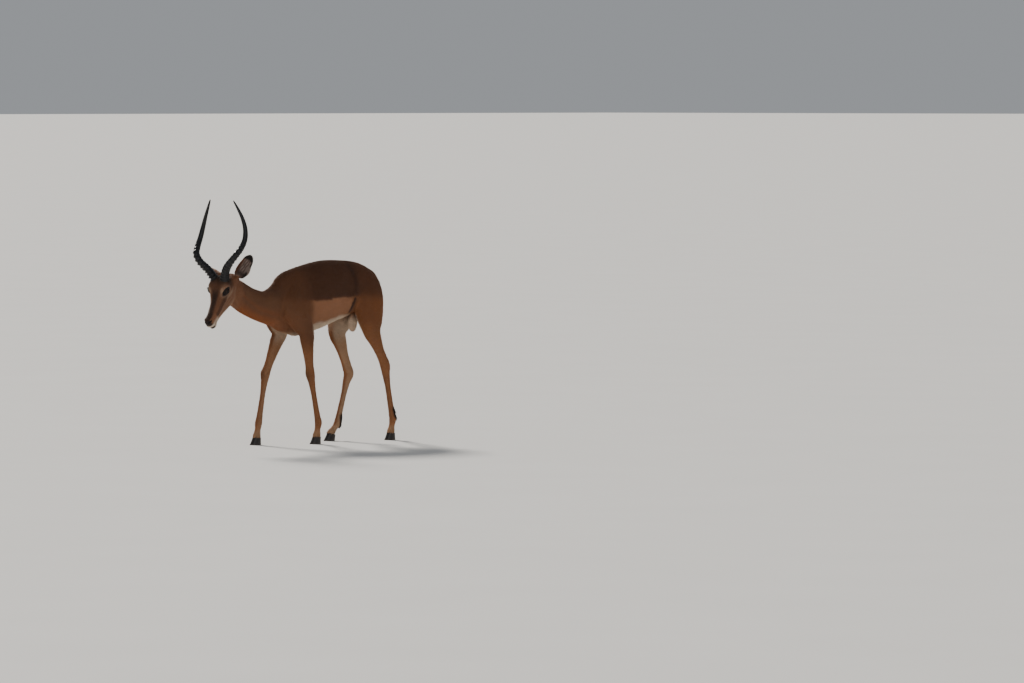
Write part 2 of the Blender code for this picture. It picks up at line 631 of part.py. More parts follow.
# ---------------------------------------------------------------- the whole ram
def build():
    clear_scene()
    coat = material("chestnut coat", COAT_COLOUR, 0.75)
    leg_coat = material("fawn leg coat", LEG_COLOUR, 0.75)
    pale = material("cream coat", PALE_COLOUR, 0.8)
    horn = material("black horn", HORN_COLOUR, 0.45)
    glassy = material("dark eye", EYE_COLOUR, 0.1)

    pieces = bpy.data.collections.new("impala ram")
    cutters = bpy.data.collections.new("cutters")
    cutters.hide_render = True
    bpy.context.scene.collection.children.link(pieces)
    bpy.context.scene.collection.children.link(cutters)

    place = head_place()
    meshes = [trunk_form(), neck_form()] + head_forms(place) + leg_forms()
    flesh = fused("flesh", meshes, FLESH_FACES)

    underline = (UNDERLINE_REAR - UNDERLINE_FRONT).normalized()
    above = Vector((0.0, -underline.z, underline.y))
    below = -above
    neck_point, neck_way = NECK_CUT
    head_point, head_way = HEAD_CUT
    midline = Vector((0.0, 0.0, 0.0))
    left, right = Vector((1.0, 0.0, 0.0)), Vector((-1.0, 0.0, 0.0))
    ahead, behind = Vector((0.0, -1.0, 0.0)), Vector((0.0, 1.0, 0.0))
    waist = Vector((0.0, 0.020, 0.0))

    made = {}
    made["trunk"] = kept_side(flesh, [(neck_point, -neck_way), (UNDERLINE_FRONT, above)])
    made["neck"] = kept_side(flesh, [(neck_point, neck_way), (head_point, -head_way)])
    made["head"] = kept_side(flesh, [(head_point, head_way)])
    feet = {}
    for side, way in (("left", left), ("right", right)):
        fore, hind = FORELEGS[side], HINDLEGS[side]
        feet["front_" + side], feet["hind_" + side] = fore, hind
        made["foreleg_" + side] = kept_side(
            flesh, [(UNDERLINE_FRONT, below), (midline, way), (waist, ahead), coronet_plane(fore)]
        )
        made["hindleg_" + side] = kept_side(
            flesh, [(UNDERLINE_FRONT, below), (midline, way), (waist, behind), coronet_plane(hind)]
        )

    placed = {}
    for name, mesh in made.items():
        finish = leg_coat if "leg" in name else coat
        placed[name] = place_piece(name, largest_body(mesh), finish, pieces)

    for side in ("left", "right"):
        s = sides_of(side)
        centre = place @ Vector((s * EYE.x, EYE.y, EYE.z))
        socket = ball(centre, (EYE_RADIUS + GAP,) * 3)
        cut_by(placed["head"], socket, cutters)
        eyeball = bpy.data.meshes.new("eye")
        work = bmesh.new()
        bmesh.ops.create_uvsphere(work, u_segments=12, v_segments=7, radius=EYE_RADIUS)
        bmesh.ops.translate(work, vec=centre, verts=work.verts)
        work.to_mesh(eyeball)
        work.free()
        place_piece("eye_" + side, eyeball, glassy, pieces)

    grown_head = swollen(placed["head"].data, GAP)
    grown_trunk = swollen(placed["trunk"].data, GAP)
    for side in ("left", "right"):
        s = sides_of(side)
        horn_piece = place_piece("horn_" + side, horn_mesh(s, place), horn, pieces)
        cut_by(horn_piece, grown_head.copy(), cutters)
        ear_piece = place_piece("ear_" + side, ear_mesh(s, *EARS[side], place), coat, pieces)
        cut_by(ear_piece, grown_head.copy(), cutters)

    tail = place_piece("tail", tail_mesh(), pale, pieces)
    cut_by(tail, grown_trunk.copy(), cutters)

    below_belly = ball(*SCROTUM, segments=10)
    cut_by(place_piece("scrotum", below_belly, pale, pieces), grown_trunk.copy(), cutters)

    for foot_name, foot in feet.items():
        point, up = coronet_plane(foot)
        for where, outer in (("inner", -1.0), ("outer", 1.0)):
            outward = outer * (1.0 if foot["toe"][0] > 0 else -1.0)
            claw = kept_side(claw_mesh(foot, outward), [(point, -up)])
            place_piece(f"hoof_{foot_name}_{where}", claw, horn, pieces)

    for piece in pieces.objects:
        piece.data.transform(Matrix.Translation(-ORIGIN))


build()
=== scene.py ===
"""The looks of a life-size still model of an impala ram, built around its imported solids.

The flesh is lofted again from the model's own measures, drawn in by the depth of the coat, and
remeshed into one skin that takes the place of every flesh solid. The head is then modelled with
strokes: lids, nostrils, lips, cheeks, tendons. Colours, the lie of the hair and its length are
worked out once for each point of the skin, and both the skin and the tufts read them.
"""

import math

import bmesh
import bpy
import numpy as np
from mathutils import Matrix, Vector
from mathutils.kdtree import KDTree


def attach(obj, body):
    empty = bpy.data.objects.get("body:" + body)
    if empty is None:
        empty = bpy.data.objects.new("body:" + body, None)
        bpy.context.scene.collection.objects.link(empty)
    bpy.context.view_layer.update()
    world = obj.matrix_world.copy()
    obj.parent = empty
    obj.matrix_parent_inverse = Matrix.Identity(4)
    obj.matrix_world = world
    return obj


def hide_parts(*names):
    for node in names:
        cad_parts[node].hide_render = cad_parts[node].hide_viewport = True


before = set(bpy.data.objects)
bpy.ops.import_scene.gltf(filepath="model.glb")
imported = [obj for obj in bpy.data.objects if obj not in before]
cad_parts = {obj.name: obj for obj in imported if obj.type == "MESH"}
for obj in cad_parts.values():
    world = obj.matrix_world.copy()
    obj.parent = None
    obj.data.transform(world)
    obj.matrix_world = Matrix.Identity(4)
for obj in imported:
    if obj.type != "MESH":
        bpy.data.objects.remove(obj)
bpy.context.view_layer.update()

SIDES = {"left": 1.0, "right": -1.0}

# ---------------------------------------------------------------- measures shared with the solids
# Everything is drawn with the withers' foot at the origin, and moved to the model's frame at the end.
MOVE = Vector((0.0101, 0.1761, 0.0))
BODY_DEPTH = 0.0026  # how far the skin lies inside the coat's tips on the trunk and neck
FINE_DEPTH = 0.0014  # and on the head and legs
VOXEL = 0.0020
SKIN_FACES = 150000

# The trunk: how far back, top, underside, half width, and how pear-shaped.
TRUNK = [
    (0.385, 0.845, 0.745, 0.040, 0.00),
    (0.355, 0.878, 0.700, 0.074, 0.00),
    (0.290, 0.914, 0.674, 0.094, 0.00),
    (0.220, 0.940, 0.668, 0.100, 0.04),
    (0.120, 0.951, 0.644, 0.106, 0.08),
    (0.020, 0.951, 0.618, 0.118, 0.12),
    (-0.080, 0.934, 0.588, 0.120, 0.14),
    (-0.165, 0.914, 0.568, 0.104, 0.16),
    (-0.235, 0.892, 0.560, 0.084, 0.18),
    (-0.300, 0.844, 0.586, 0.070, 0.16),
    (-0.345, 0.804, 0.625, 0.050, 0.10),
]
# The neck: how far back, height of its middle, half width, radius above and below.
NECK = [
    (-0.200, 0.758, 0.066, 0.126, 0.130),
    (-0.270, 0.735, 0.070, 0.122, 0.126),
    (-0.335, 0.723, 0.063, 0.098, 0.108),
    (-0.400, 0.724, 0.055, 0.077, 0.087),
    (-0.470, 0.741, 0.049, 0.072, 0.078),
    (-0.540, 0.772, 0.047, 0.070, 0.076),
    (-0.600, 0.810, 0.046, 0.064, 0.074),
    (-0.640, 0.835, 0.042, 0.048, 0.062),
]
HEAD_JOINT = Vector((0.0, -0.6155, 0.8665))
HEAD_PITCH = math.radians(51.0)
HEAD_TURN = math.radians(10.0)
HEAD_TILT = math.radians(2.5)
# The head: how far ahead of its joint, and the radii from the crown round to the chin, 30 degrees apart.
HEAD = [
    (-0.020, 0.026, 0.030, 0.036, 0.040, 0.043, 0.048, 0.052),
    (0.012, 0.052, 0.051, 0.049, 0.047, 0.049, 0.058, 0.068),
    (0.045, 0.080, 0.079, 0.060, 0.049, 0.049, 0.062, 0.080),
    (0.075, 0.083, 0.093, 0.067, 0.050, 0.050, 0.064, 0.083),
    (0.100, 0.075, 0.093, 0.067, 0.049, 0.049, 0.063, 0.081),
    (0.125, 0.063, 0.072, 0.061, 0.047, 0.047, 0.058, 0.075),
    (0.150, 0.051, 0.054, 0.052, 0.044, 0.043, 0.052, 0.068),
    (0.180, 0.041, 0.042, 0.041, 0.038, 0.037, 0.045, 0.059),
    (0.210, 0.034, 0.034, 0.034, 0.032, 0.032, 0.040, 0.052),
    (0.240, 0.030, 0.029, 0.029, 0.028, 0.029, 0.037, 0.048),
    (0.265, 0.027, 0.028, 0.028, 0.027, 0.028, 0.036, 0.046),
    (0.284, 0.023, 0.026, 0.0265, 0.0255, 0.026, 0.032, 0.040),
    (0.298, 0.012, 0.014, 0.016, 0.0165, 0.017, 0.020, 0.022),
]
EYE = Vector((0.0470, -0.1070, 0.0440))
EYE_RADIUS = 0.0175
# How far the opening between the lids reaches to each corner, up and down, in radians from the gaze.
LID_REACH, LID_UPPER, LID_LOWER = 0.98, 0.66, 0.55
LID_THICKNESS = 0.0016
FORELEGS = {
    "left": {
        "withers": (0.040, -0.180, 0.868),
        "shoulder": (0.078, -0.262, 0.700),
        "elbow": (0.080, -0.170, 0.585),
        "knee": (0.077, -0.138, 0.366),
        "fetlock": (0.077, -0.083, 0.110),
        "coronet": (0.077, -0.093, 0.048),
        "toe": (0.077, -0.126, 0.0),
    },
    "right": {
        "withers": (-0.040, -0.190, 0.868),
        "shoulder": (-0.078, -0.272, 0.700),
        "elbow": (-0.080, -0.212, 0.580),
        "knee": (-0.077, -0.312, 0.368),
        "fetlock": (-0.077, -0.361, 0.112),
        "coronet": (-0.077, -0.372, 0.048),
        "toe": (-0.077, -0.404, 0.0),
    },
}
HINDLEGS = {
    "left": {
        "hip": (0.062, 0.268, 0.830),
        "stifle": (0.076, 0.292, 0.580),
        "hock": (0.078, 0.386, 0.388),
        "fetlock": (0.078, 0.441, 0.106),
        "coronet": (0.078, 0.430, 0.048),
        "toe": (0.078, 0.400, 0.0),
    },
    "right": {
        "hip": (-0.062, 0.268, 0.830),
        "stifle": (-0.076, 0.186, 0.575),
        "hock": (-0.078, 0.268, 0.346),
        "fetlock": (-0.078, 0.188, 0.088),
        "coronet": (-0.078, 0.150, 0.046),
        "toe": (-0.078, 0.112, 0.0),
    },
}
# A limb's form: from one joint to another, the share passed, half width, radius in front and behind.
PASTERN = [
    ("fetlock", "coronet", 0.50, 0.0160, 0.0160, 0.0165),
    ("fetlock", "coronet", 1.00, 0.0195, 0.0210, 0.0190),
    ("fetlock", "coronet", 1.40, 0.0195, 0.0210, 0.0190),
]
FORELEG_FORM = [
    ("withers", "shoulder", -0.20, 0.006, 0.012, 0.016),
    ("withers", "shoulder", 0.05, 0.014, 0.042, 0.054),
    ("withers", "shoulder", 0.50, 0.029, 0.062, 0.080),
    ("shoulder", "elbow", 0.00, 0.037, 0.058, 0.086),
    ("shoulder", "elbow", 0.55, 0.039, 0.056, 0.064),
    ("elbow", "knee", 0.00, 0.036, 0.046, 0.044),
    ("elbow", "knee", 0.25, 0.029, 0.035, 0.037),
    ("elbow", "knee", 0.55, 0.0235, 0.027, 0.028),
    ("elbow", "knee", 0.85, 0.0215, 0.0225, 0.0225),
    ("knee", "fetlock", 0.00, 0.0245, 0.0255, 0.0235),
    ("knee", "fetlock", 0.13, 0.0195, 0.0195, 0.0205),
    ("knee", "fetlock", 0.30, 0.0145, 0.0150, 0.0170),
    ("knee", "fetlock", 0.65, 0.0135, 0.0140, 0.0160),
    ("knee", "fetlock", 0.90, 0.0160, 0.0165, 0.0190),
    ("knee", "fetlock", 1.00, 0.0185, 0.0185, 0.0205),
] + PASTERN
HINDLEG_FORM = [
    ("hip", "stifle", -0.26, 0.012, 0.020, 0.024),
    ("hip", "stifle", -0.05, 0.036, 0.062, 0.074),
    ("hip", "stifle", 0.30, 0.052, 0.088, 0.098),
    ("hip", "stifle", 0.55, 0.054, 0.088, 0.090),
    ("hip", "stifle", 0.80, 0.048, 0.074, 0.076),
    ("stifle", "hock", 0.05, 0.036, 0.050, 0.054),
    ("stifle", "hock", 0.30, 0.027, 0.036, 0.040),
    ("stifle", "hock", 0.60, 0.0205, 0.025, 0.032),
    ("stifle", "hock", 0.82, 0.0200, 0.0225, 0.034),
    ("hock", "fetlock", 0.00, 0.0230, 0.0250, 0.0330),
    ("hock", "fetlock", 0.12, 0.0200, 0.0215, 0.0240),
    ("hock", "fetlock", 0.30, 0.0150, 0.0165, 0.0185),
    ("hock", "fetlock", 0.65, 0.0138, 0.0150, 0.0170),
    ("hock", "fetlock", 0.90, 0.0160, 0.0165, 0.0195),
    ("hock", "fetlock", 1.00, 0.0185, 0.0185, 0.0205),
] + PASTERN
# The left horn in the head's frame: how far out, ahead and up.
HORN = [
    (0.0230, 0.0620, 0.0480),
    (0.0340, 0.0540, 0.0810),
    (0.0588, 0.0348, 0.1279),
    (0.0932, 0.0183, 0.1637),
    (0.1232, -0.0146, 0.1820),
    (0.1383, -0.0629, 0.1840),
    (0.1420, -0.1145, 0.1919),
    (0.1355, -0.1610, 0.2154),
    (0.1200, -0.1997, 0.2490),
    (0.0979, -0.2317, 0.2871),
    (0.0734, -0.2601, 0.3269),
]
HORN_BASE_RADIUS = 0.0225
HORN_TIP_RADIUS = 0.0022
HORN_TAPER = 0.62
HORN_RINGED_SHARE = 0.62
# Each ear in the head's frame: its root, the way it points, and the way it opens.
EARS = {
    "left": ((0.058, 0.006, 0.022), (0.668, 0.425, 0.609), (0.224, -0.898, 0.383)),
    "right": ((-0.052, 0.004, 0.022), (-0.950, 0.270, -0.110), (-0.290, -0.900, -0.300)),
}
EAR_LENGTH = 0.152
EAR_HALF_WIDTH = 0.0290
EAR_LOBE = 0.26
EAR_THICKNESS = 0.0052
# The tail: how far back, height and width.
TAIL = [
    (0.350, 0.870, 0.018),
    (0.384, 0.850, 0.018),
    (0.405, 0.808, 0.016),
    (0.412, 0.745, 0.015),
    (0.411, 0.680, 0.019),
    (0.407, 0.625, 0.018),
    (0.403, 0.585, 0.006),
]
SCROTUM = (Vector((0.0, 0.228, 0.622)), (0.021, 0.027, 0.048))
HOOF_HALF_WIDTH = 0.0105
HOOF_SPLAY = 0.0112
# Where the parts of the skin meet: the trunk's underline, and the planes of the neck's root and the head's.
UNDERLINE = (np.array((0.0, -0.220, 0.541)), np.array((0.0, 0.220, 0.647)))
NECK_CUT = (np.array((0.0, -0.346, 0.727)), np.array((0.0, -0.97, 0.24)))
HEAD_CUT = (np.array((0.0, -0.575, 0.797)), np.array((0.0, -0.90, 0.20)))
TAIL_LINE = [(0.0, y, z) for y, z, size in TAIL]
LEGS = [table[side] for table in (FORELEGS, HINDLEGS) for side in SIDES]


# ---------------------------------------------------------------- small tools
def smooth_values(knots, values, at):
    """Values given at the knots, read off a smooth curve at other places."""
    knots, values, at = (np.asarray(given, float) for given in (knots, values, at))
    slopes = np.gradient(values, knots, axis=0)
    i = np.clip(np.searchsorted(knots, at, side="right") - 1, 0, len(knots) - 2)
    span = (knots[i + 1] - knots[i])[:, None]
    s = (at - knots[i])[:, None] / span
    start = (2 * s**3 - 3 * s**2 + 1) * values[i] + (s**3 - 2 * s**2 + s) * span * slopes[i]
    end = (3 * s**2 - 2 * s**3) * values[i + 1] + (s**3 - s**2) * span * slopes[i + 1]
    return start + end


def curve_through(rows, count):
    """Rows of numbers made into count rows on one smooth curve, evenly spaced along its length."""
    rows = np.asarray(rows, float)
    steps = np.linalg.norm(np.diff(rows[:, :3], axis=0), axis=1)
    knots = np.concatenate([[0.0], np.cumsum(steps)])
    return smooth_values(knots, rows, np.linspace(0.0, knots[-1], count))


def rise_flat(value, low, high):
    """0 below low, 1 above high, and a straight line between; low may be the higher of the two."""
    return np.clip((value - low) / (high - low), 0.0, 1.0)


def rise(value, low, high):
    """As rise_flat, with soft ends."""
    share = rise_flat(value, low, high)
    return share * share * (3 - 2 * share)


def unit(vectors):
    return vectors / np.maximum(np.linalg.norm(vectors, axis=-1, keepdims=True), 1e-9)


def mirrored(points):
    """The same places, all on the left side."""
    both = points.copy()
    both[:, 0] = np.abs(both[:, 0])
    return both


def axes_of(matrix):
    return np.array(matrix)[:3, :3]


def placed(points, matrix):
    return points @ axes_of(matrix).T + np.array(matrix)[:3, 3]


def in_frame(points, matrix):
    """Points read in the frame that the matrix places."""
    return placed(points, matrix.inverted())


def facing_out(mesh):
    work = bmesh.new()
    work.from_mesh(mesh)
    bmesh.ops.recalc_face_normals(work, faces=work.faces)
    if work.calc_volume(signed=True) < 0:
        bmesh.ops.reverse_faces(work, faces=work.faces)
    work.to_mesh(mesh)
    work.free()
    return mesh


def mesh_of(points, faces, edges=()):
    mesh = bpy.data.meshes.new("part")
    mesh.from_pydata([tuple(p) for p in points], edges, faces)
    return mesh


def closed_tube(rings, tip_start, tip_end):
    """A closed mesh through rings of points, each a ring of the same count, ending in two tips."""
    count, sides = len(rings), len(rings[0])
    points = [p for ring in rings for p in ring] + [tip_start, tip_end]
    faces = []
    for i in range(count - 1):
        for j in range(sides):
            k = (j + 1) % sides
            faces.append((i * sides + j, i * sides + k, (i + 1) * sides + k, (i + 1) * sides + j))
    first, last = count * sides, count * sides + 1
    for j in range(sides):
        k = (j + 1) % sides
        faces.append((first, k, j))
        faces.append((last, (count - 1) * sides + j, (count - 1) * sides + k))
    return facing_out(mesh_of(points, faces))


def loft(rows, sides=64, step=0.006):
    """A limb or trunk: rows of (x, y, z, half width, radius on the front or top, radius on the back or
    underside, pear share). The front of a limb that points down is -Y, and of one that points -Y is +Z."""
    rows = np.asarray(rows, float)
    length = np.linalg.norm(np.diff(rows[:, :3], axis=0), axis=1).sum()
    fine = curve_through(rows, max(8, int(length / step)))
    centres = fine[:, :3]
    along = unit(np.gradient(centres, axis=0))
    across = unit(np.array([1.0, 0.0, 0.0]) - along * along[:, :1])
    front = np.cross(along, across)
    turn = np.linspace(0.0, 2 * math.pi, sides, endpoint=False)
    cosine, sine = np.cos(turn), np.sin(turn)
    rings = []
    for c, a, f, row in zip(centres, across, front, fine):
        side, ahead, behind, pear = np.maximum(row[3:7], (0.001, 0.001, 0.001, 0.0))
        reach = np.where(cosine > 0, ahead, behind) * cosine
        width = side * sine * (1 - pear * cosine)
        rings.append(c + np.outer(width, a) + np.outer(reach, f))
    return closed_tube(rings, centres[0], centres[-1])


def round_ball(segments, rings):
    """A ball of radius 1 with its poles on Z, its points in the same order each time."""
    turn = np.linspace(0.0, 2 * math.pi, segments, endpoint=False)
    circle = np.stack([np.cos(turn), np.sin(turn), turn * 0], axis=1)
    climb = np.linspace(-math.pi / 2, math.pi / 2, rings + 1)[1:-1]
    levels = [circle * math.cos(a) + (0.0, 0.0, math.sin(a)) for a in climb]
    return closed_tube(levels, (0.0, 0.0, -1.0), (0.0, 0.0, 1.0))


def ball(centre, radii):
    """An ellipsoid to be fused into the flesh, with its radii along X, Y and Z."""
    mesh = bpy.data.meshes.new("ball")
    work = bmesh.new()
    bmesh.ops.create_uvsphere(work, u_segments=32, v_segments=21, radius=1.0)
    place = Matrix.Translation(centre) @ Matrix.Diagonal((*radii, 1.0))
    bmesh.ops.transform(work, matrix=place, verts=work.verts)
    work.to_mesh(mesh)
    work.free()
    return mesh


def evaluated_mesh(obj):
    graph = bpy.context.evaluated_depsgraph_get()
    return bpy.data.meshes.new_from_object(obj.evaluated_get(graph))


def read(layer, field="co", width=3):
    """A field of every item of a mesh's layer, as rows of numbers."""
    found = np.empty(len(layer) * width, np.float32)
    layer.foreach_get(field, found)
    return found.reshape(-1, width).astype(float)


def read_points(mesh):
    return read(mesh.vertices)


def corner_points(mesh):
    """The number of the point at every face corner."""
    found = np.empty(len(mesh.loops), np.int32)
    mesh.loops.foreach_get("vertex_index", found)
    return found


def write(layer, field, values, kind=np.float32):
    layer.foreach_set(field, np.ascontiguousarray(values, kind).ravel())


def write_points(mesh, points):
    write(mesh.vertices, "co", points)
    mesh.update()


def store(mesh, name, values, field="value"):
    """Keeps a value, a vector or a colour for every point."""
    kind = {"value": "FLOAT", "vector": "FLOAT_VECTOR", "color": "FLOAT_COLOR"}[field]
    write(mesh.attributes.new(name, kind, "POINT").data, field, values)


def store_colours(mesh, colours):
    store(mesh, "tint", np.concatenate([colours, np.ones((len(colours), 1))], axis=1), "color")


def new_object(name, mesh):
    made = bpy.data.objects.new(name, mesh)
    bpy.context.scene.collection.objects.link(made)
    return made


def near_line(points, line, width):
    """1 on the line through these places, falling softly to nothing a few widths away."""
    line = np.asarray(line, float)
    nearest = np.full(len(points), np.inf)
    for a, b in zip(line[:-1], line[1:]):
        reach = b - a
        share = np.clip((points - a) @ reach / (reach @ reach), 0.0, 1.0)
        nearest = np.minimum(nearest, ((points - a - share[:, None] * reach) ** 2).sum(1))
    return np.exp(-nearest / width**2)


def near_place(points, place, radius):
    return np.exp(-((points - np.asarray(place, float)) ** 2).sum(1) / radius**2)


# ---------------------------------------------------------------- the frames of the head and ears
def head_frame():
    """The head's own frame: nose along -Y, crown +Z, tipped down, turned a little left and tilted."""
    turned = Matrix.Rotation(HEAD_TURN, 4, "Z")
    tipped = Matrix.Rotation(HEAD_PITCH, 4, "X")
    tilted = Matrix.Rotation(HEAD_TILT, 4, "Y")
    return Matrix.Translation(HEAD_JOINT) @ turned @ tipped @ tilted


def ear_frame(side):
    """The ear's own frame: X across it, Y out of its back, Z from its root to its tip."""
    root, axis, opening = EARS[side]
    along = Vector(axis).normalized()
    away = -(Vector(opening) - along * Vector(opening).dot(along)).normalized()
    frame_of_ear = Matrix((away.cross(along), away, along)).transposed().to_4x4()
    return head_frame() @ Matrix.Translation(Vector(root)) @ frame_of_ear


HEAD_FRAME = head_frame()
EAR_FRAMES = {side: ear_frame(side) for side in SIDES}


def ear_share(points, side):
    """1 on an ear, 0 on the skull."""
    local = in_frame(points, EAR_FRAMES[side])
    beside = np.hypot(local[:, 0], local[:, 1])
    return rise(local[:, 2], 0.004, 0.022) * rise(beside, 0.060, 0.048) * (local[:, 2] < 0.18)


def both_ears(points):
    return np.maximum(ear_share(points, "left"), ear_share(points, "right"))


def head_share(points, low, high):
    """1 on the head, 0 on the neck, with the change between two distances past the head's plane."""
    return rise((points - HEAD_CUT[0]) @ HEAD_CUT[1], low, high)


def eye_axes(sign=1.0):
    """Where an eye looks, the way from its middle to its front corner, and the way up across it, in the
    head's frame."""
    gaze = unit(np.array((0.88, -0.40, 0.26)))
    corner = np.array((0.0, -1.0, 0.02))
    corner = unit(corner - gaze * (corner @ gaze))
    mirror = np.array((sign, 1.0, 1.0))
    return gaze * mirror, corner * mirror, np.cross(corner, gaze) * mirror


# ---------------------------------------------------------------- the forms of the flesh
def limb_rows(joints, form):
    rows = []
    for start, end, share, side, ahead, behind in form:
        reach = Vector(joints[end]) - Vector(joints[start])
        rows.append((*(Vector(joints[start]) + reach * share), side, ahead, behind, 0.0))
    return rows


def skull_form(sides=72, step=0.004):
    """The head from its table: radii at every thirty degrees, the same on both sides."""
    table = np.array(HEAD)
    at = np.linspace(table[0, 0], table[-1, 0], int((table[-1, 0] - table[0, 0]) / step))
    fine = smooth_values(table[:, 0], table[:, 1:], at)
    past_both_ends = np.concatenate([fine[:, 1:2], fine, fine[:, -2:-1]], axis=1)
    turn = np.linspace(0.0, 360.0, sides, endpoint=False)
    folded = np.where(turn > 180.0, 360.0 - turn, turn)
    radii = smooth_values(np.arange(-30.0, 211.0, 30.0), past_both_ends.T, folded).T
    x, z = np.sin(np.radians(turn)), np.cos(np.radians(turn))
    rings = [np.stack([r * x, np.full(sides, -u), r * z], axis=1) for u, r in zip(at, radii)]
    return closed_tube(rings, (0.0, -at[0], 0.0), (0.0, -at[-1] - 0.003, -0.002))


def ear_form(side, rows=56, columns=41):
    """A leaf-shaped cup, rolled into a tube at its root and open along its upper part."""
    widest = 0.58  # the share of its length where the rounding of the tip begins
    t = np.linspace(0.0, 1.0, rows)[:, None]
    spread = np.sin(math.pi * (0.20 + 0.78 * t**1.15)) ** 0.75
    round_tip = 0.95 * np.sqrt(np.clip(1 - ((t - widest) / (1 - widest)) ** 2, 0.0, 1.0))
    half = np.maximum(EAR_HALF_WIDTH * np.where(t < widest, spread, round_tip), 0.004)
    curl = np.radians(165 - 108 * np.minimum(t * 1.6, 1.0) ** 0.8)
    radius = half / np.maximum(np.sin(np.minimum(curl, math.pi / 2)), 0.3) * (0.5 + 0.5 * rise(t, 0.0, 0.13))
    lobe = EAR_LOBE * np.exp(-(((t - 0.36) / 0.20) ** 2))
    angle = np.linspace(-1.0, 1.0, columns)[None, :] * curl
    x = radius * np.sin(angle) * (1 + lobe * np.maximum(SIDES[side] * np.sin(angle), 0.0))
    y = radius * (np.cos(angle) - 0.75) + 0.012 * np.sin(math.pi * t)
    points = np.stack([x, y, np.broadcast_to(t * EAR_LENGTH, x.shape)], axis=2).reshape(-1, 3)
    corner = (np.arange(rows - 1)[:, None] * columns + np.arange(columns - 1)[None, :]).ravel()
    faces = np.stack([corner, corner + 1, corner + columns + 1, corner + columns], axis=1)
    shell = new_object("ear shell", mesh_of(points.tolist(), faces.tolist()))
    thick = shell.modifiers.new("thickness", "SOLIDIFY")
    thick.thickness = EAR_THICKNESS
    thick.offset = 0.0
    made = evaluated_mesh(shell)
    bpy.data.objects.remove(shell, do_unlink=True)
    made.transform(EAR_FRAMES[side])
    return facing_out(made)


def flesh_forms():
    rows = []
    for y, top, bottom, half_width, pear in TRUNK:
        middle = 0.54 * top + 0.46 * bottom
        rows.append((0.0, y, middle, half_width, top - middle, middle - bottom, pear))
    forms = [loft(rows, sides=96)]
    forms.append(loft([(0.0, y, z, side, up, down, 0.05) for y, z, side, up, down in NECK], sides=80))
    chin = ball(Vector((0.0, -0.268, -0.036)), (0.0170, 0.022, 0.013))
    in_head = [skull_form(), chin]
    for s in SIDES.values():
        in_head.append(ball(Vector((s * 0.0120, -0.276, 0.010)), (0.0130, 0.018, 0.015)))  # nostril's wing
        in_head.append(ball(Vector((s * 0.0390, 0.005, 0.016)), (0.0190, 0.015, 0.015)))  # ear's foot
    for mesh in in_head:
        mesh.transform(HEAD_FRAME)
    forms += in_head
    for side in SIDES:
        forms.append(loft(limb_rows(FORELEGS[side], FORELEG_FORM), sides=48, step=0.005))
        forms.append(loft(limb_rows(HINDLEGS[side], HINDLEG_FORM), sides=48, step=0.005))
        hock, stifle = Vector(HINDLEGS[side]["hock"]), Vector(HINDLEGS[side]["stifle"])
        heel = hock + (stifle - hock).normalized() * 0.026 + Vector((0.0, 0.024, 0.0))
        forms.append(ball(heel, (0.0125, 0.014, 0.022)))
        forms.append(ear_form(side))
        conch = ball(Vector((0.0, 0.000, 0.006)), (0.0170, 0.0160, 0.020))
        conch.transform(EAR_FRAMES[side])
        forms.append(conch)
    dock = [(0.0, y, z, width * 0.75, width * 0.6, width * 0.6, 0.0) for y, z, width in TAIL]
    forms.append(loft(dock, sides=32, step=0.006))
    forms.append(ball(*SCROTUM))
    return forms


def hanging_line(points):
    """1 on the free part of the tail."""
    return near_line(points, TAIL_LINE[2:], 0.034)


def fused(meshes):
    """One skin round all these meshes: fine on the head and ears, and thinned elsewhere."""
    joined = bmesh.new()
    for mesh in meshes:
        joined.from_mesh(mesh)
    whole = bpy.data.meshes.new("flesh")
    joined.to_mesh(whole)
    joined.free()
    body = new_object("flesh", whole)
    remesh = body.modifiers.new("one skin", "REMESH")
    remesh.mode = "VOXEL"
    remesh.voxel_size = VOXEL
    body.data = evaluated_mesh(body)
    body.modifiers.clear()
    points = read_points(body.data)
    legs = rise(points[:, 2], 0.62, 0.54)
    may_thin = 0.9 - 0.05 * legs - 0.125 * head_share(points, -0.07, 0.0)
    may_thin -= 0.10 * hanging_line(points)
    may_thin *= both_ears(points) <= 0.0
    group = body.vertex_groups.new(name="may thin")
    may_thin = may_thin.round(2)
    for level in np.unique(may_thin)[1:]:
        group.add(np.flatnonzero(may_thin == level).tolist(), float(level), "REPLACE")
    thin = body.modifiers.new("thin out", "DECIMATE")
    thin.ratio = SKIN_FACES / (2.0 * len(body.data.polygons))
    thin.vertex_group = group.name
    thin.vertex_group_factor = 1.0
    thin.use_collapse_triangulate = True
    result = evaluated_mesh(body)
    bpy.data.objects.remove(body, do_unlink=True)
    return result


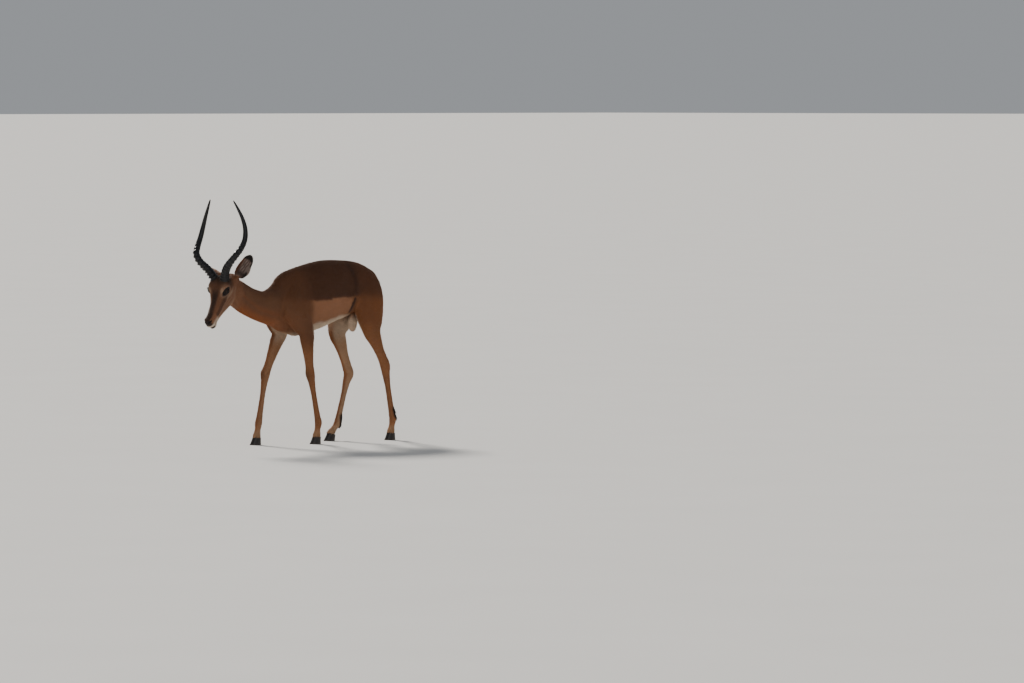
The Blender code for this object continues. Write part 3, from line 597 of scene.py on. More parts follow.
class Skin:
    """The skin's points as arrays, with the tools that model it."""

    def __init__(self, mesh):
        self.mesh = mesh
        self.refresh()

    def refresh(self):
        self.points = read_points(self.mesh)
        self.edges = read(self.mesh.edges, "vertices", 2).astype(np.int64)
        self.count = len(self.points)
        self.degree = np.maximum(np.bincount(self.edges.ravel(), minlength=self.count), 1)[:, None]

    def spread(self, values):
        """Each point's neighbours, averaged."""
        a, b = self.edges[:, 0], self.edges[:, 1]
        total = np.empty_like(values)
        for k in range(values.shape[1]):
            total[:, k] = np.bincount(a, values[b, k], self.count) + np.bincount(b, values[a, k], self.count)
        return total / self.degree

    def soften(self, share, times):
        share = np.broadcast_to(np.asarray(share, float), (self.count,))[:, None] * 0.5
        for _ in range(times):
            self.points += (self.spread(self.points) - self.points) * share
        self.settle()

    def iron(self, share, times):
        """Takes out ripples and keeps thin parts as thick as they are."""
        share = np.asarray(share, float)[:, None]
        for k in range(2 * times):
            self.points += (self.spread(self.points) - self.points) * share * (0.55 if k % 2 == 0 else -0.58)
        self.settle()

    def settle(self):
        write_points(self.mesh, self.points)

    def normals(self):
        self.settle()
        return read(self.mesh.vertices, "normal")

    def push(self, amount):
        """Moves every point out along its normal."""
        self.points += self.normals() * amount[:, None]
        self.settle()

    def refine(self, chosen):
        """Halves the edges inside the chosen points' faces."""
        self.settle()
        work = bmesh.new()
        work.from_mesh(self.mesh)
        edges = [e for e in work.edges if chosen[e.verts[0].index] and chosen[e.verts[1].index]]
        bmesh.ops.subdivide_edges(work, edges=edges, cuts=1, use_grid_fill=True)
        bmesh.ops.triangulate(work, faces=[f for f in work.faces if len(f.verts) > 3])
        work.to_mesh(self.mesh)
        work.free()
        self.refresh()

    def head_points(self):
        """The points in the head's frame, both sides alike."""
        return mirrored(in_frame(self.points, HEAD_FRAME))


# ---------------------------------------------------------------- modelling the skin
NOSTRIL = [(0.0095, -0.296, 0.012), (0.0150, -0.292, 0.016), (0.0215, -0.281, 0.014)]
MOUTH = [(0.0, -0.292, -0.027), (0.013, -0.283, -0.029), (0.023, -0.258, -0.028), (0.028, -0.226, -0.021)]
# Strokes: height, width, and the line each follows. On the head, in its own frame with both sides alike.
HEAD_STROKES = [
    # brow, cheekbone, hollows of the cheek and of the face, temple
    (0.0030, 0.008, [(0.036, -0.085, 0.075), (0.047, -0.105, 0.068), (0.042, -0.132, 0.056)]),
    (0.0030, 0.008, [(0.050, -0.070, 0.022), (0.048, -0.105, 0.016), (0.036, -0.155, 0.012)]),
    (-0.0030, 0.013, [(0.044, -0.120, 0.000), (0.033, -0.175, -0.006)]),
    (-0.0022, 0.012, [(0.036, -0.152, 0.032), (0.026, -0.190, 0.022)]),
    (-0.0035, 0.014, [(0.050, -0.058, 0.046), (0.052, -0.045, 0.030)]),
    # masseter, corner of the jaw, line over the jaw, hollow under it
    (0.0045, 0.020, [(0.047, -0.060, -0.010), (0.042, -0.085, -0.036)]),
    (0.0030, 0.012, [(0.036, -0.030, -0.058), (0.030, -0.070, -0.066)]),
    (-0.0020, 0.007, [(0.042, -0.110, -0.026), (0.030, -0.170, -0.022), (0.026, -0.225, -0.022)]),
    (-0.0035, 0.011, [(0.0, -0.060, -0.080), (0.0, -0.130, -0.072), (0.0, -0.215, -0.052)]),
    # nasal bone, upper edge of the nostril, nostril, groove under the nose
    (0.0016, 0.005, [(0.017, -0.130, 0.060), (0.014, -0.200, 0.037), (0.013, -0.250, 0.029)]),
    (0.0026, 0.0055, [(0.006, -0.292, 0.022), (0.018, -0.284, 0.024), (0.024, -0.266, 0.016)]),
    (-0.0105, 0.0030, NOSTRIL),
    (-0.0012, 0.0028, [(0.0, -0.303, 0.008), (0.0, -0.300, -0.012), (0.0, -0.292, -0.022)]),
    # upper lip, mouth, chin, the root of the horn
    (0.0026, 0.0060, [(0.008, -0.294, -0.014), (0.020, -0.276, -0.019), (0.027, -0.246, -0.016)]),
    (-0.0036, 0.0028, MOUTH),
    (0.0036, 0.0070, [(0.0, -0.287, -0.038), (0.013, -0.276, -0.040), (0.019, -0.255, -0.038)]),
    (0.0065, 0.0240, [(0.021, -0.068, 0.060), (0.026, -0.056, 0.078)]),
]
# On the trunk and neck, alike on both sides.
BODY_STROKES = [
    # shoulder blade, hollow behind it, elbow
    (0.0035, 0.018, [(0.050, -0.195, 0.885), (0.084, -0.235, 0.790), (0.092, -0.278, 0.700)]),
    (-0.0045, 0.020, [(0.085, -0.130, 0.870), (0.118, -0.138, 0.760), (0.112, -0.112, 0.660)]),
    (0.0035, 0.016, [(0.110, -0.205, 0.665), (0.108, -0.160, 0.625)]),
    # hip bone, hollow before it, back of the thigh, thigh
    (0.0030, 0.014, [(0.062, 0.118, 0.930), (0.078, 0.140, 0.905)]),
    (-0.0060, 0.034, [(0.092, 0.120, 0.850), (0.102, 0.110, 0.800)]),
    (-0.0025, 0.012, [(0.088, 0.300, 0.860), (0.102, 0.318, 0.760), (0.098, 0.330, 0.690)]),
    (0.0030, 0.020, [(0.090, 0.232, 0.860), (0.112, 0.240, 0.760)]),
    # groove and cord of the neck, fold under the tail
    (-0.0030, 0.012, [(0.052, -0.325, 0.665), (0.046, -0.460, 0.700), (0.042, -0.570, 0.772)]),
    (0.0020, 0.014, [(0.066, -0.320, 0.715), (0.052, -0.470, 0.735), (0.046, -0.580, 0.800)]),
    (-0.0020, 0.008, [(0.0, 0.392, 0.780), (0.0, 0.386, 0.700)]),
]
STIFLE_FOLD = [(0.106, 0.166, 0.765), (0.101, 0.150, 0.732), (0.094, 0.136, 0.690), (0.082, 0.126, 0.652)]
JAW_TO_NECK = [(0.030, -0.555, 0.735), (0.050, -0.585, 0.790), (0.045, -0.590, 0.850)]
RIBS, FIRST_RIB, RIB_GAP = 11, -0.085, 0.024


def leg_strokes(side):
    """Tendons, joints and folds of the two legs on one side."""
    sign = SIDES[side]
    fore = {k: np.array(v) for k, v in FORELEGS[side].items()}
    hind = {k: np.array(v) for k, v in HINDLEGS[side].items()}
    out, ahead, up = np.array((sign, 0.0, 0.0)), np.array((0.0, -1.0, 0.0)), np.array((0.0, 0.0, 1.0))
    strokes = []
    for face in (-1.0, 1.0):
        shin = out * face * 0.014 - ahead * 0.004
        for top, foot in ((fore["knee"], fore["fetlock"]), (hind["hock"], hind["fetlock"])):
            strokes.append((-0.0016, 0.0045, [top + shin - up * 0.04, foot + shin + up * 0.03]))
        cord = out * face * 0.018 - ahead * 0.012
        above = hind["hock"] + (hind["stifle"] - hind["hock"]) * 0.42
        strokes.append((-0.0045, 0.0085, [hind["hock"] + cord + up * 0.025, above + cord * 1.1]))
        knobs = (
            (fore["fetlock"], 0.0012, 0.008, 0.017, (0.0, 0.004)),
            (hind["fetlock"], 0.0012, 0.008, 0.017, (0.0, 0.004)),
            (fore["knee"], 0.0016, 0.009, 0.022, (-0.008, 0.012)),
            (hind["hock"], 0.0018, 0.010, 0.021, (-0.006, 0.012)),
        )
        for joint, height, width, aside, ends in knobs:
            strokes.append((height, width, [joint + out * face * aside + up * s for s in ends]))
    knee = fore["knee"] + ahead * 0.024
    strokes.append((0.0020, 0.009, [knee + up * s for s in (-0.010, 0.010)]))
    strokes.append((-0.0016, 0.006, [knee - up * 0.024, fore["knee"] + ahead * 0.020 - up * 0.030]))
    fold = np.array(STIFLE_FOLD) * (sign, 1.0, 1.0)
    if side == "right":
        fold = fold + (0.0, -0.012, 0.0)
    strokes.append((-0.0090, 0.0080, fold))
    strokes.append((0.0040, 0.0120, fold + (0.0, 0.019, 0.0)))
    return strokes


def lids(skin, side):
    """Opens the skin over an eye, and draws it up into an upper and a lower lid round the ball. Gives each
    point's distance past the edge of the opening."""
    mirror = np.array((SIDES[side], 1.0, 1.0))
    points = in_frame(skin.points, HEAD_FRAME) * mirror
    offset = points - np.array(EYE)
    gaze, corner, upward = eye_axes()
    radius = np.linalg.norm(offset, axis=1)
    level, front, high = offset @ gaze, offset @ corner, offset @ upward
    here = (radius < 0.036) & (level > -0.012)
    turned = np.arctan2(front, np.maximum(level, 1e-4))
    raised = np.arctan2(high, np.maximum(level, 1e-4))
    limit = np.where(raised > 0, LID_UPPER, LID_LOWER) * lid_reach(turned / LID_REACH)
    beyond = np.where(np.abs(turned) > LID_REACH, np.abs(turned) - LID_REACH, -9)
    past = np.maximum(np.abs(raised) - limit, beyond) * EYE_RADIUS
    lid = EYE_RADIUS + LID_THICKNESS - 0.0004 * rise(past, 0.002, 0.008)
    crease = -0.0010 * np.exp(-(((past - 0.0052) / 0.0012) ** 2)) * (raised > 0)
    wanted = np.where(past < 0.0, EYE_RADIUS - 0.0035, lid + crease)
    share = (1 - rise(past, 0.0035, 0.0130)) * rise(level, -0.002, 0.004)
    moved = radius + (wanted - radius) * share
    moved = np.where(past > 0.0, np.maximum(moved, lid), moved)
    moved = np.where(here, moved, radius)
    points = np.array(EYE) + offset * (moved / np.maximum(radius, 1e-6))[:, None]
    skin.points = placed(points * mirror, HEAD_FRAME)
    skin.settle()
    return np.where(here, past, 1.0)


def lid_reach(share):
    """How open the lids are, from 1 in the middle to 0 at the corners."""
    return np.clip(1 - share**2, 0.0, 1.0) ** 0.72


def coat_depth(points):
    """How far the skin lies inside the solids, by place."""
    fine = np.maximum(head_share(points, -0.03, 0.02), rise(points[:, 2], 0.60, 0.50))
    return BODY_DEPTH + (FINE_DEPTH - BODY_DEPTH) * fine


def coronet_plane(foot):
    """The cut between pastern and hoof: a place on it, and the way up."""
    fetlock, coronet = np.array(foot["fetlock"]), np.array(foot["coronet"])
    up = unit(unit(fetlock - coronet) + np.array((0.0, 0.0, 1.2)))
    return coronet - np.array((0.0, 0.0, 0.010)), up


def trim_at_coronet(skin, foot):
    """Ends a leg flat at the top of its hoof."""
    place, up = coronet_plane(foot)
    offset = skin.points - place
    near = (np.abs(offset) < (0.035, 0.045, 0.045)).all(axis=1)
    below = np.minimum(offset @ up, 0.0) * near
    skin.points -= below[:, None] * up * 0.9


def smooth_skin(skin):
    """Takes the joins of the forms and the steps of the remesh out of the skin, and draws it in."""
    points = skin.points
    ears = both_ears(points)
    hanging = np.maximum(hanging_line(points), near_place(points, SCROTUM[0], 0.045))
    hanging = np.minimum(1.6 * hanging, 1.0)
    skin.soften(1.0 - 0.80 * ears - 0.75 * hanging, 2)
    skin.iron(1.0 - 0.75 * hanging, 10)
    for ear in EAR_FRAMES.values():
        hollow = near_place(in_frame(skin.points, ear), (0.0, -0.002, 0.018), 0.020)
        skin.soften(np.minimum(1.5 * hollow, 1.0), 16)
    trunk = rise(points[:, 2], 0.55, 0.63) * rise(points[:, 1], -0.56, -0.48) * (1 - hanging)
    skin.iron(trunk, 20)
    skin.soften(near_line(mirrored(skin.points), JAW_TO_NECK, 0.024), 14)
    skin.push(-coat_depth(skin.points) * (1 - ears) * (1 - 0.5 * hanging))


def refine_face(skin):
    """More points where the nostrils, the mouth and the lids are modelled."""
    local = skin.head_points()
    muzzle = np.zeros(skin.count)
    for _, width, line in HEAD_STROKES:
        if width < 0.005:
            muzzle += near_line(local, line, 0.007)
    skin.refine((muzzle > 0.5) | (((local - np.array(EYE)) ** 2).sum(1) < 0.032**2))
    local = skin.head_points()
    nostril = near_line(local, NOSTRIL, 0.006) > 0.35
    skin.refine((((local - np.array(EYE)) ** 2).sum(1) < 0.025**2) | nostril)


def carve(skin):
    """Raises and lowers the skin along all the strokes."""
    local = skin.head_points()
    head = head_share(skin.points, -0.01, 0.02) * (1 - both_ears(skin.points))
    skin.soften(head * 0.8, 5)
    amount = np.zeros(skin.count)
    for height, width, line in HEAD_STROKES:
        amount += height * near_line(local, line, width) * head
    both = mirrored(skin.points)
    for height, width, line in BODY_STROKES:
        amount += height * near_line(both, line, width) * (1 - head)
    for side in SIDES:
        for height, width, line in leg_strokes(side):
            amount += height * near_line(skin.points, line, width)
    for i in range(RIBS):
        y = FIRST_RIB + RIB_GAP * i
        rib = [(0.112, y - 0.020, 0.845), (0.124, y, 0.760), (0.112, y + 0.006, 0.680)]
        amount += 0.0009 * near_line(both, rib, 0.0075) * (1 - head)
    skin.push(amount)
    skin.soften(head * 0.25 + 0.15, 2)


def build_skin():
    skin = Skin(fused(flesh_forms()))
    smooth_skin(skin)
    refine_face(skin)
    carve(skin)
    past = np.minimum(lids(skin, "left"), lids(skin, "right"))
    for foot in LEGS:
        trim_at_coronet(skin, foot)
    skin.soften(0.5 * (past < 0.02) * (past > 0.0008), 2)
    return skin, past


# ---------------------------------------------------------------- colours, lie and length of the hair
PALETTE = {
    "flank": (0.41, 0.192, 0.098),
    # the shoulder's own darker tone, with painted shade of the shoulder against the flank band
    "shoulder": (0.215, 0.090, 0.040),
    "thigh": (0.262, 0.102, 0.039),
    "leg": (0.305, 0.127, 0.052),
    "inner leg": (0.40, 0.240, 0.140),
    "shin": (0.23, 0.095, 0.040),
    "knee": (0.070, 0.032, 0.016),
    "pastern": (0.46, 0.29, 0.17),
    "saddle": (0.105, 0.042, 0.019),
    "rump": (0.150, 0.058, 0.026),
    "line of the back": (0.080, 0.028, 0.011),
    "neck": (0.225, 0.104, 0.052),
    "top of the neck": (0.140, 0.066, 0.036),
    "nape": (0.135, 0.052, 0.021),
    "throat": (0.36, 0.122, 0.042),
    "brisket": (0.52, 0.34, 0.21),
    "cream": (0.70, 0.56, 0.42),
    "white": (0.78, 0.72, 0.62),
    "buttock": (0.58, 0.40, 0.26),
    "black": (0.012, 0.010, 0.009),
    # dark hair in the stifle fold, deepened with painted shade of the fold
    "dark hair and painted shade in the stifle fold": (0.022, 0.013, 0.010),
    # painted shade: the dark band down the hollow between saddle and haunch
    "painted shade in the hip hollow": (0.055, 0.021, 0.010),
    "face": (0.205, 0.090, 0.045),
    "jaw": (0.27, 0.150, 0.092),
    "under the jaw": (0.38, 0.200, 0.110),
    "forehead": (0.085, 0.036, 0.018),
    "bridge of the nose": (0.034, 0.017, 0.010),
    "side of the nose": (0.150, 0.062, 0.029),
    "over the eye": (0.33, 0.205, 0.130),
    "under the eye": (0.35, 0.225, 0.150),
    "tear band": (0.060, 0.026, 0.014),
    "eye ring": (0.33, 0.215, 0.150),
    "eye surround": (0.015, 0.010, 0.009),
    "nose": (0.024, 0.014, 0.011),
    "mouth": (0.030, 0.018, 0.014),
    "lip": (0.70, 0.58, 0.46),
    "corner of the lip": (0.50, 0.39, 0.30),
    "upper lip": (0.62, 0.52, 0.42),
    "foot of the horn": (0.022, 0.013, 0.009),
    "crown": (0.030, 0.016, 0.010),
    "foot of the ear": (0.026, 0.015, 0.010),
    # painted sunlight: a lighter patch on the poll between the horn and the ear
    "painted sunlight behind the horn": (0.40, 0.235, 0.130),
    "before the ear": (0.60, 0.44, 0.31),
    "back of the ear": (0.26, 0.115, 0.050),
    "inside of the ear": (0.31, 0.235, 0.200),
    # painted shade deep in the ear's hollow, near its root
    "ear streak": (0.058, 0.022, 0.018),
    "deep in the ear": (0.040, 0.024, 0.020),
    "edge of the ear": (0.130, 0.050, 0.025),
    "tip of the ear": (0.022, 0.016, 0.014),
}
# Edges of the markings: how far back, and the height there.
SADDLE_EDGE = ((-0.62, -0.575, -0.46, -0.346, -0.25, -0.15, 0.147, 0.20, 0.30, 0.40),
               (0.850, 0.825, 0.792, 0.768, 0.757, 0.747, 0.764, 0.775, 0.776, 0.780))
BELLY_EDGE = ((-0.34, -0.24, -0.17, -0.10, 0.113, 0.16, 0.24),
              (0.560, 0.575, 0.604, 0.631, 0.667, 0.672, 0.640))
# The black stripes beside the tail: height, and how far out the stripe is there.
RUMP_STRIPE = ((0.36, 0.45, 0.56, 0.66, 0.74, 0.82, 0.87, 0.90),
               (0.084, 0.082, 0.076, 0.064, 0.058, 0.054, 0.044, 0.028))
GLAND = {"left": (0.022, 0.060), "right": (0.002, 0.040)}  # the black tuft over a hind foot, from the fetlock up
FACE_BANDS = [  # colour, strength, how much is cut off, the most, width, and line on the face
    ("side of the nose", 0.85, 0.0, 1.0, 0.013, [(0.030, -0.140, 0.044), (0.024, -0.225, 0.022)]),
    ("over the eye", 1.2, 0.0, 0.70, 0.0080, [(0.037, -0.126, 0.062), (0.044, -0.092, 0.070)]),
    ("under the eye", 1.2, 0.0, 0.70, 0.009, [(0.047, -0.128, 0.018), (0.051, -0.085, 0.010)]),
    ("tear band", 1.5, 0.15, 0.80, 0.0115,
     [(0.047, -0.124, 0.032), (0.041, -0.150, 0.018), (0.033, -0.200, 0.003), (0.028, -0.225, 0.000)]),
]
FACE_SPOTS = [  # colour, strength, how much is cut off, the most, radius, and place on the face
    ("crown", 1.6, 0.2, 0.9, 0.028, (0.0, -0.030, 0.085)),
    ("foot of the ear", 1.5, 0.2, 0.9, 0.016, (0.060, 0.014, 0.012)),
    # painted sunlight: a lighter patch on the poll between the horn and the ear
    ("painted sunlight behind the horn", 0.35, 0.0, 1.0, 0.014, (0.040, -0.002, 0.066)),
    ("before the ear", 0.7, 0.0, 1.0, 0.014, (0.038, 0.020, 0.050)),
]


def firm(soft, strength, cut, most=1.0):
    """A soft spot made stronger, with its faint edge cut off."""
    return np.clip(strength * soft - cut, 0.0, most)


def along_line(points, line):
    """For each point, its distance from a line, and the way the line runs there."""
    best = np.full(len(points), np.inf)
    way = np.zeros((len(points), 3))
    for a, b in zip(line[:-1], line[1:]):
        reach = b - a
        share = np.clip((points - a) @ reach / (reach @ reach), 0.0, 1.0)
        away = ((points - a - share[:, None] * reach) ** 2).sum(1)
        way[away < best] = reach / np.linalg.norm(reach)
        best = np.minimum(best, away)
    return np.sqrt(best), way


def gland_share(points, side, width):
    """1 on the black tuft above one hind foot."""
    fetlock, hock = (np.array(HINDLEGS[side][k]) for k in ("fetlock", "hock"))
    shin = unit(hock - fetlock)
    low, high = GLAND[side]
    return near_line(points, [fetlock + shin * low + (0, 0.016, 0), fetlock + shin * high + (0, 0.015, 0)], width)


class Coat:
    """What every hair needs to know at its root: colour, lie and length."""

    def __init__(self, skin, past):
        self.skin, self.past = skin, past
        self.points = skin.points
        self.normals = skin.normals()
        self.local = in_frame(self.points, HEAD_FRAME)
        self.face = mirrored(self.local)
        self.face_normals = self.normals @ axes_of(HEAD_FRAME)
        self.ears = {side: ear_share(self.points, side) for side in SIDES}
        self.ear = np.maximum(self.ears["left"], self.ears["right"])
        self.head = head_share(self.points, -0.030, 0.012) * (1 - self.ear)
        self.paint()
        self.lay()
        self.grow()

    def put(self, name, share):
        share = np.clip(share, 0.0, 1.0)[:, None]
        self.tint = self.tint * (1 - share) + np.array(PALETTE[name]) * share

    def in_ear(self, side):
        """The points in the ear's frame, and how far each faces its opening."""
        ear = EAR_FRAMES[side]
        return in_frame(self.points, ear), -(self.normals @ axes_of(ear))[:, 1]

    def paint(self):
        p, n = self.points, self.normals
        x, y, z = np.abs(p[:, 0]), p[:, 1], p[:, 2]
        self.tint = np.tile(np.array(PALETTE["flank"]), (len(p), 1))
        waver = 0.0035 * np.sin(31 * y + 9 * z) + 0.0022 * np.sin(83 * y + 2.0) + 0.0012 * np.sin(190 * y + 40 * x)
        neck = rise(y, -0.27, -0.37)
        edge = np.interp(y, *SADDLE_EDGE) + waver
        soft = 0.004 + 0.020 * rise(y, -0.13, -0.22) + 0.014 * neck + 0.042 * rise(y, 0.15, 0.23)
        above = rise((z - edge) / soft, -1.0, 1.0)
        # The shoulder is darker than the flank band: partly its own tone, partly painted shade.
        seam = -0.150 + 0.10 * (0.68 - z) + 1.5 * waver
        self.put("shoulder", rise(y - seam, 0.030, -0.022))
        self.put("thigh", rise(y, 0.128, 0.150))
        self.put("leg", rise(y, 0.15, 0.20) * rise(z, 0.66, 0.52))
        self.put("neck", neck)
        self.put("throat", (1 - above) * rise(y, -0.24, -0.40) * rise(-n[:, 2], -0.05, 0.75) * 0.95)
        self.put("shoulder", above * (1 - neck))
        self.put("saddle", above * (1 - neck) * (1 - 0.50 * rise(y, -0.10, -0.24)))
        self.put("rump", above * rise(y, 0.165, 0.200) * 0.6)
        self.put("top of the neck", above * neck)
        self.put("nape", above * neck * rise(z - edge, 0.03, 0.065))
        self.put("line of the back", above * (1 - neck) * rise(x, 0.045, 0.0) * 0.7)
        self.paint_underside(x, y, z, waver)
        self.paint_legs(x, y, z)
        self.paint_fold_and_hip_shade(x)
        self.put("cream", firm(near_place(p, SCROTUM[0], 0.040), 1.6, 0.3))
        self.paint_rump(x, y, z)
        self.paint_head()
        self.paint_muzzle()
        self.paint_eyes()
        for side in SIDES:
            self.paint_ear(side)

    def paint_underside(self, x, y, z, waver):
        down = -self.normals[:, 2]
        belly = rise((np.interp(y, *BELLY_EDGE) + waver - z) / 0.010, -1.0, 1.0)
        belly *= np.maximum(rise(z, 0.572, 0.592), rise(x, 0.054, 0.040))
        between_legs = rise(y, -0.165, -0.135) * rise(y, 0.150, 0.120)
        under = rise(down, 0.05, 0.45) * rise(x, 0.075, 0.055)
        belly *= np.maximum(between_legs, 0.6 * under * rise(y, -0.30, -0.24) * rise(y, 0.32, 0.26))
        self.put("cream", belly * 0.92)
        brisket = rise(y, -0.20, -0.25) * rise(z, 0.600, 0.566) * rise(x, 0.078, 0.050) * rise(down, 0.0, 0.5)
        self.put("brisket", brisket * 0.85)

    def paint_legs(self, x, y, z):
        p, n = self.points, self.normals
        self.put("leg", rise(z, 0.58, 0.48))
        inner = rise(-n[:, 0] * np.sign(p[:, 0]), 0.25, 0.75) * rise(x, 0.012, 0.03)
        self.put("inner leg", inner * rise(z, 0.66, 0.58) * (0.9 - 0.50 * rise(y, 0.05, 0.0)))
        self.put("cream", inner * rise(z, 0.50, 0.60) * rise(z, 0.68, 0.62) * 0.6)
        self.put("pastern", rise(z, 0.090, 0.062) * 0.50)
        self.put("shin", rise(-n[:, 1], 0.3, 0.9) * rise(z, 0.42, 0.35) * rise(z, 0.07, 0.12) * 0.55)
        for side in SIDES:
            self.put("black", firm(gland_share(p, side, 0.0205), 3.0, 0.6) * rise(n[:, 1], -0.75, -0.35))
            knee = np.array(FORELEGS[side]["knee"])
            self.put("knee", near_place(p, knee + (0, -0.025, -0.004), 0.022) * 0.45)

    def paint_fold_and_hip_shade(self, x):
        flat = self.points * (0.0, 1.0, 1.0)
        # The stifle fold: its dark hair and painted shade of the fold, on the outer side only.
        fold = [(0.0, 0.158, 0.750), (0.0, 0.151, 0.725), (0.0, 0.145, 0.690), (0.0, 0.138, 0.640)]
        fold = np.maximum(near_line(flat, fold, 0.0095), near_place(flat, (0.0, 0.138, 0.655), 0.020))
        self.put("dark hair and painted shade in the stifle fold", firm(fold, 1.6, 0.3, 0.95) * rise(x, 0.050, 0.070))
        # Painted shade: a dark vertical band down the hollow between the saddle and the haunch.
        crease = near_line(flat, [(0.0, 0.140, 0.925), (0.0, 0.158, 0.860), (0.0, 0.157, 0.790)], 0.011)
        self.put("painted shade in the hip hollow", 0.75 * crease * rise(x, 0.03, 0.06))

    def paint_rump(self, x, y, z):
        p, n = self.points, self.normals
        tail = firm(near_line(p, TAIL_LINE[1:], 0.024), 2.0, 0.5) * rise(y, 0.378, 0.392)
        stripe_at = np.interp(z, *RUMP_STRIPE)
        behind = rise(n[:, 1], 0.0, 0.40) * rise(y, 0.22, 0.27) * (1 - tail)
        patch = rise(y, 0.30, 0.34) * rise(stripe_at - x, 0.000, 0.008)
        self.put("white", behind * patch * rise(z, 0.62, 0.68) * rise(z, 0.885, 0.860))
        below = rise(z, 0.66, 0.60) * rise(z, 0.44, 0.52) * rise(stripe_at - x, 0.0, 0.01)
        self.put("buttock", behind * below * 0.7)
        stripe = firm(np.exp(-((x - stripe_at) / 0.0080) ** 2), 2.2, 0.6) * (0.25 + 0.75 * rise(z, 0.50, 0.64))
        self.put("black", behind * stripe * rise(z, 0.36, 0.44) * rise(z, 0.905, 0.880))
        self.put("white", tail)
        self.put("black", tail * rise(x, 0.0080, 0.0040) * rise(n[:, 1], -0.1, 0.35) * rise(z, 0.60, 0.66))
        self.put("black", rise(x, 0.014, 0.008) * rise(y, 0.30, 0.345) * rise(z, 0.84, 0.875) * 0.85)

    def paint_head(self):
        f, facing_up, on = self.face, self.face_normals[:, 2], self.head
        across, ahead, up = f[:, 0], -f[:, 1], f[:, 2]
        self.put("face", on)
        self.put("jaw", on * rise(-facing_up, -0.15, 0.6) * rise(ahead, 0.02, 0.06))
        brow = rise(facing_up, 0.40, 0.85) * rise(ahead, 0.02, 0.07) * rise(ahead, 0.20, 0.13)
        self.put("forehead", on * brow * 0.8)
        bridge = rise(across, 0.0215, 0.0140) * rise(facing_up, 0.1, 0.5) * rise(ahead, 0.105, 0.150)
        self.put("bridge of the nose", on * bridge * 0.95)
        for name, strength, cut, most, width, line in FACE_BANDS:
            self.put(name, on * firm(near_line(f, line, width), strength, cut, most))
        self.put("under the jaw", on * rise(-facing_up, 0.3, 0.9) * rise(ahead, 0.05, 0.09) * 0.7)
        self.put("white", on * rise(up, -0.030, -0.038) * rise(ahead, 0.215, 0.245) * 0.85)

    def paint_muzzle(self):
        f, on = self.face, self.head
        ahead, up = -f[:, 1], f[:, 2]
        self.put("lip", on * near_line(f, [(0.024, -0.236, -0.028), (0.017, -0.272, -0.034)], 0.0080))
        corner = near_line(f, [(0.022, -0.270, -0.012), (0.026, -0.240, -0.015)], 0.0085)
        self.put("corner of the lip", on * corner * 0.8)
        self.put("nose", on * rise(ahead, 0.280, 0.291) * rise(up, -0.018, -0.006))
        self.put("nose", on * rise(ahead, 0.270, 0.282) * rise(up, -0.028, -0.032) * 0.9)
        above_mouth = rise(up, -0.005, -0.012) * rise(up, -0.029, -0.024)
        self.put("upper lip", on * rise(ahead, 0.266, 0.280) * above_mouth * 0.85)
        # Painted shade: the nostrils' openings painted black, step by step deeper into each slit.
        for deep in (0.0, 0.0035, 0.0070, 0.0105):
            slit = np.array(NOSTRIL) + np.array((-0.5 * deep, 0.85 * deep, 0.0))
            self.put("black", on * firm(near_line(f, slit, 0.0048), 2.2, 0.5))
        self.put("mouth", on * firm(near_line(f, MOUTH, 0.0042), 2.2, 0.5))

    def paint_eyes(self):
        """The dark hair round the horns' and ears' feet, a pale mark before the ear, a patch of painted sunlight
        between horn and ear, and the eyes' surrounds.
        """
        f, on = self.face, self.head
        for sign in SIDES.values():
            horn = [(sign * out, -ahead, up) for out, ahead, up in HORN[:2]]
            self.put("foot of the horn", on * firm(near_line(self.local, horn, 0.038), 1.9, 0.35, 0.95))
        for name, strength, cut, most, radius, place in FACE_SPOTS:
            here = np.maximum(on, self.ear) if name == "foot of the ear" else on
            self.put(name, here * firm(near_place(f, place, radius), strength, cut, most))
        gaze, corner, upward = eye_axes()
        offset = f - np.array(EYE)
        front, high = offset @ corner, offset @ upward
        round_eye = np.hypot((front - 0.0030) / 0.0270, high / np.where(high > 0, 0.0152, 0.0140))
        near = on * (offset @ gaze > -0.004)
        self.put("eye ring", near * rise(round_eye, 1.80, 1.25) * 0.34)
        self.put("eye surround", near * rise(round_eye, 1.12, 0.96))

    def paint_ear(self, side):
        on, sign = self.ears[side], SIDES[side]
        local, opening = self.in_ear(side)
        aside, t = local[:, 0] / EAR_HALF_WIDTH, local[:, 2] / EAR_LENGTH
        self.put("back of the ear", on)
        root = rise(opening, -0.75, -0.35) * rise(t, 0.24, 0.16) * rise(t, 0.03, 0.06)
        inside = np.maximum(rise(opening, -0.10, 0.25), root) * on
        self.put("inside of the ear", inside)
        for k in (-0.42, -0.04, 0.34):
            drift = k + 0.30 * sign * (t - 0.45) + 0.05 * np.sin(23 * t + 5 * k)
            line = np.exp(-(((aside - drift) / 0.11) ** 2))
            self.put("ear streak", inside * line * rise(t, 0.10, 0.25) * rise(t, 0.90, 0.72) * 0.75)
        # Painted shade: the inside of the ear darkened deep in its hollow, near the root.
        self.put("deep in the ear", inside * rise(t, 0.28, 0.12) * 0.90)
        self.put("edge of the ear", on * rise(-sign * aside, 0.42, 0.80) * rise(t, 0.95, 0.7))
        rear = rise(sign * aside, 0.55, 0.95)
        self.put("tip of the ear", on * np.maximum(rise(t, 0.68, 0.78), rise(t, 0.48, 0.62) * rear))
        self.put("tip of the ear", on * rear * rise(t, 0.10, 0.16) * rise(t, 0.34, 0.26))

    def lay(self):
        """The way the hair lies: back along the trunk, down the limbs, and back over the face."""
        p, both = self.points, mirrored(self.points)
        y, z = p[:, 1], p[:, 2]
        way = np.tile(np.array((0.0, 1.0, -0.25)), (len(p), 1))

        def turn(direction, share):
            nonlocal way
            share = np.clip(share, 0.0, 1.0)[:, None]
            way = way * (1 - share) + np.asarray(direction, float) * share

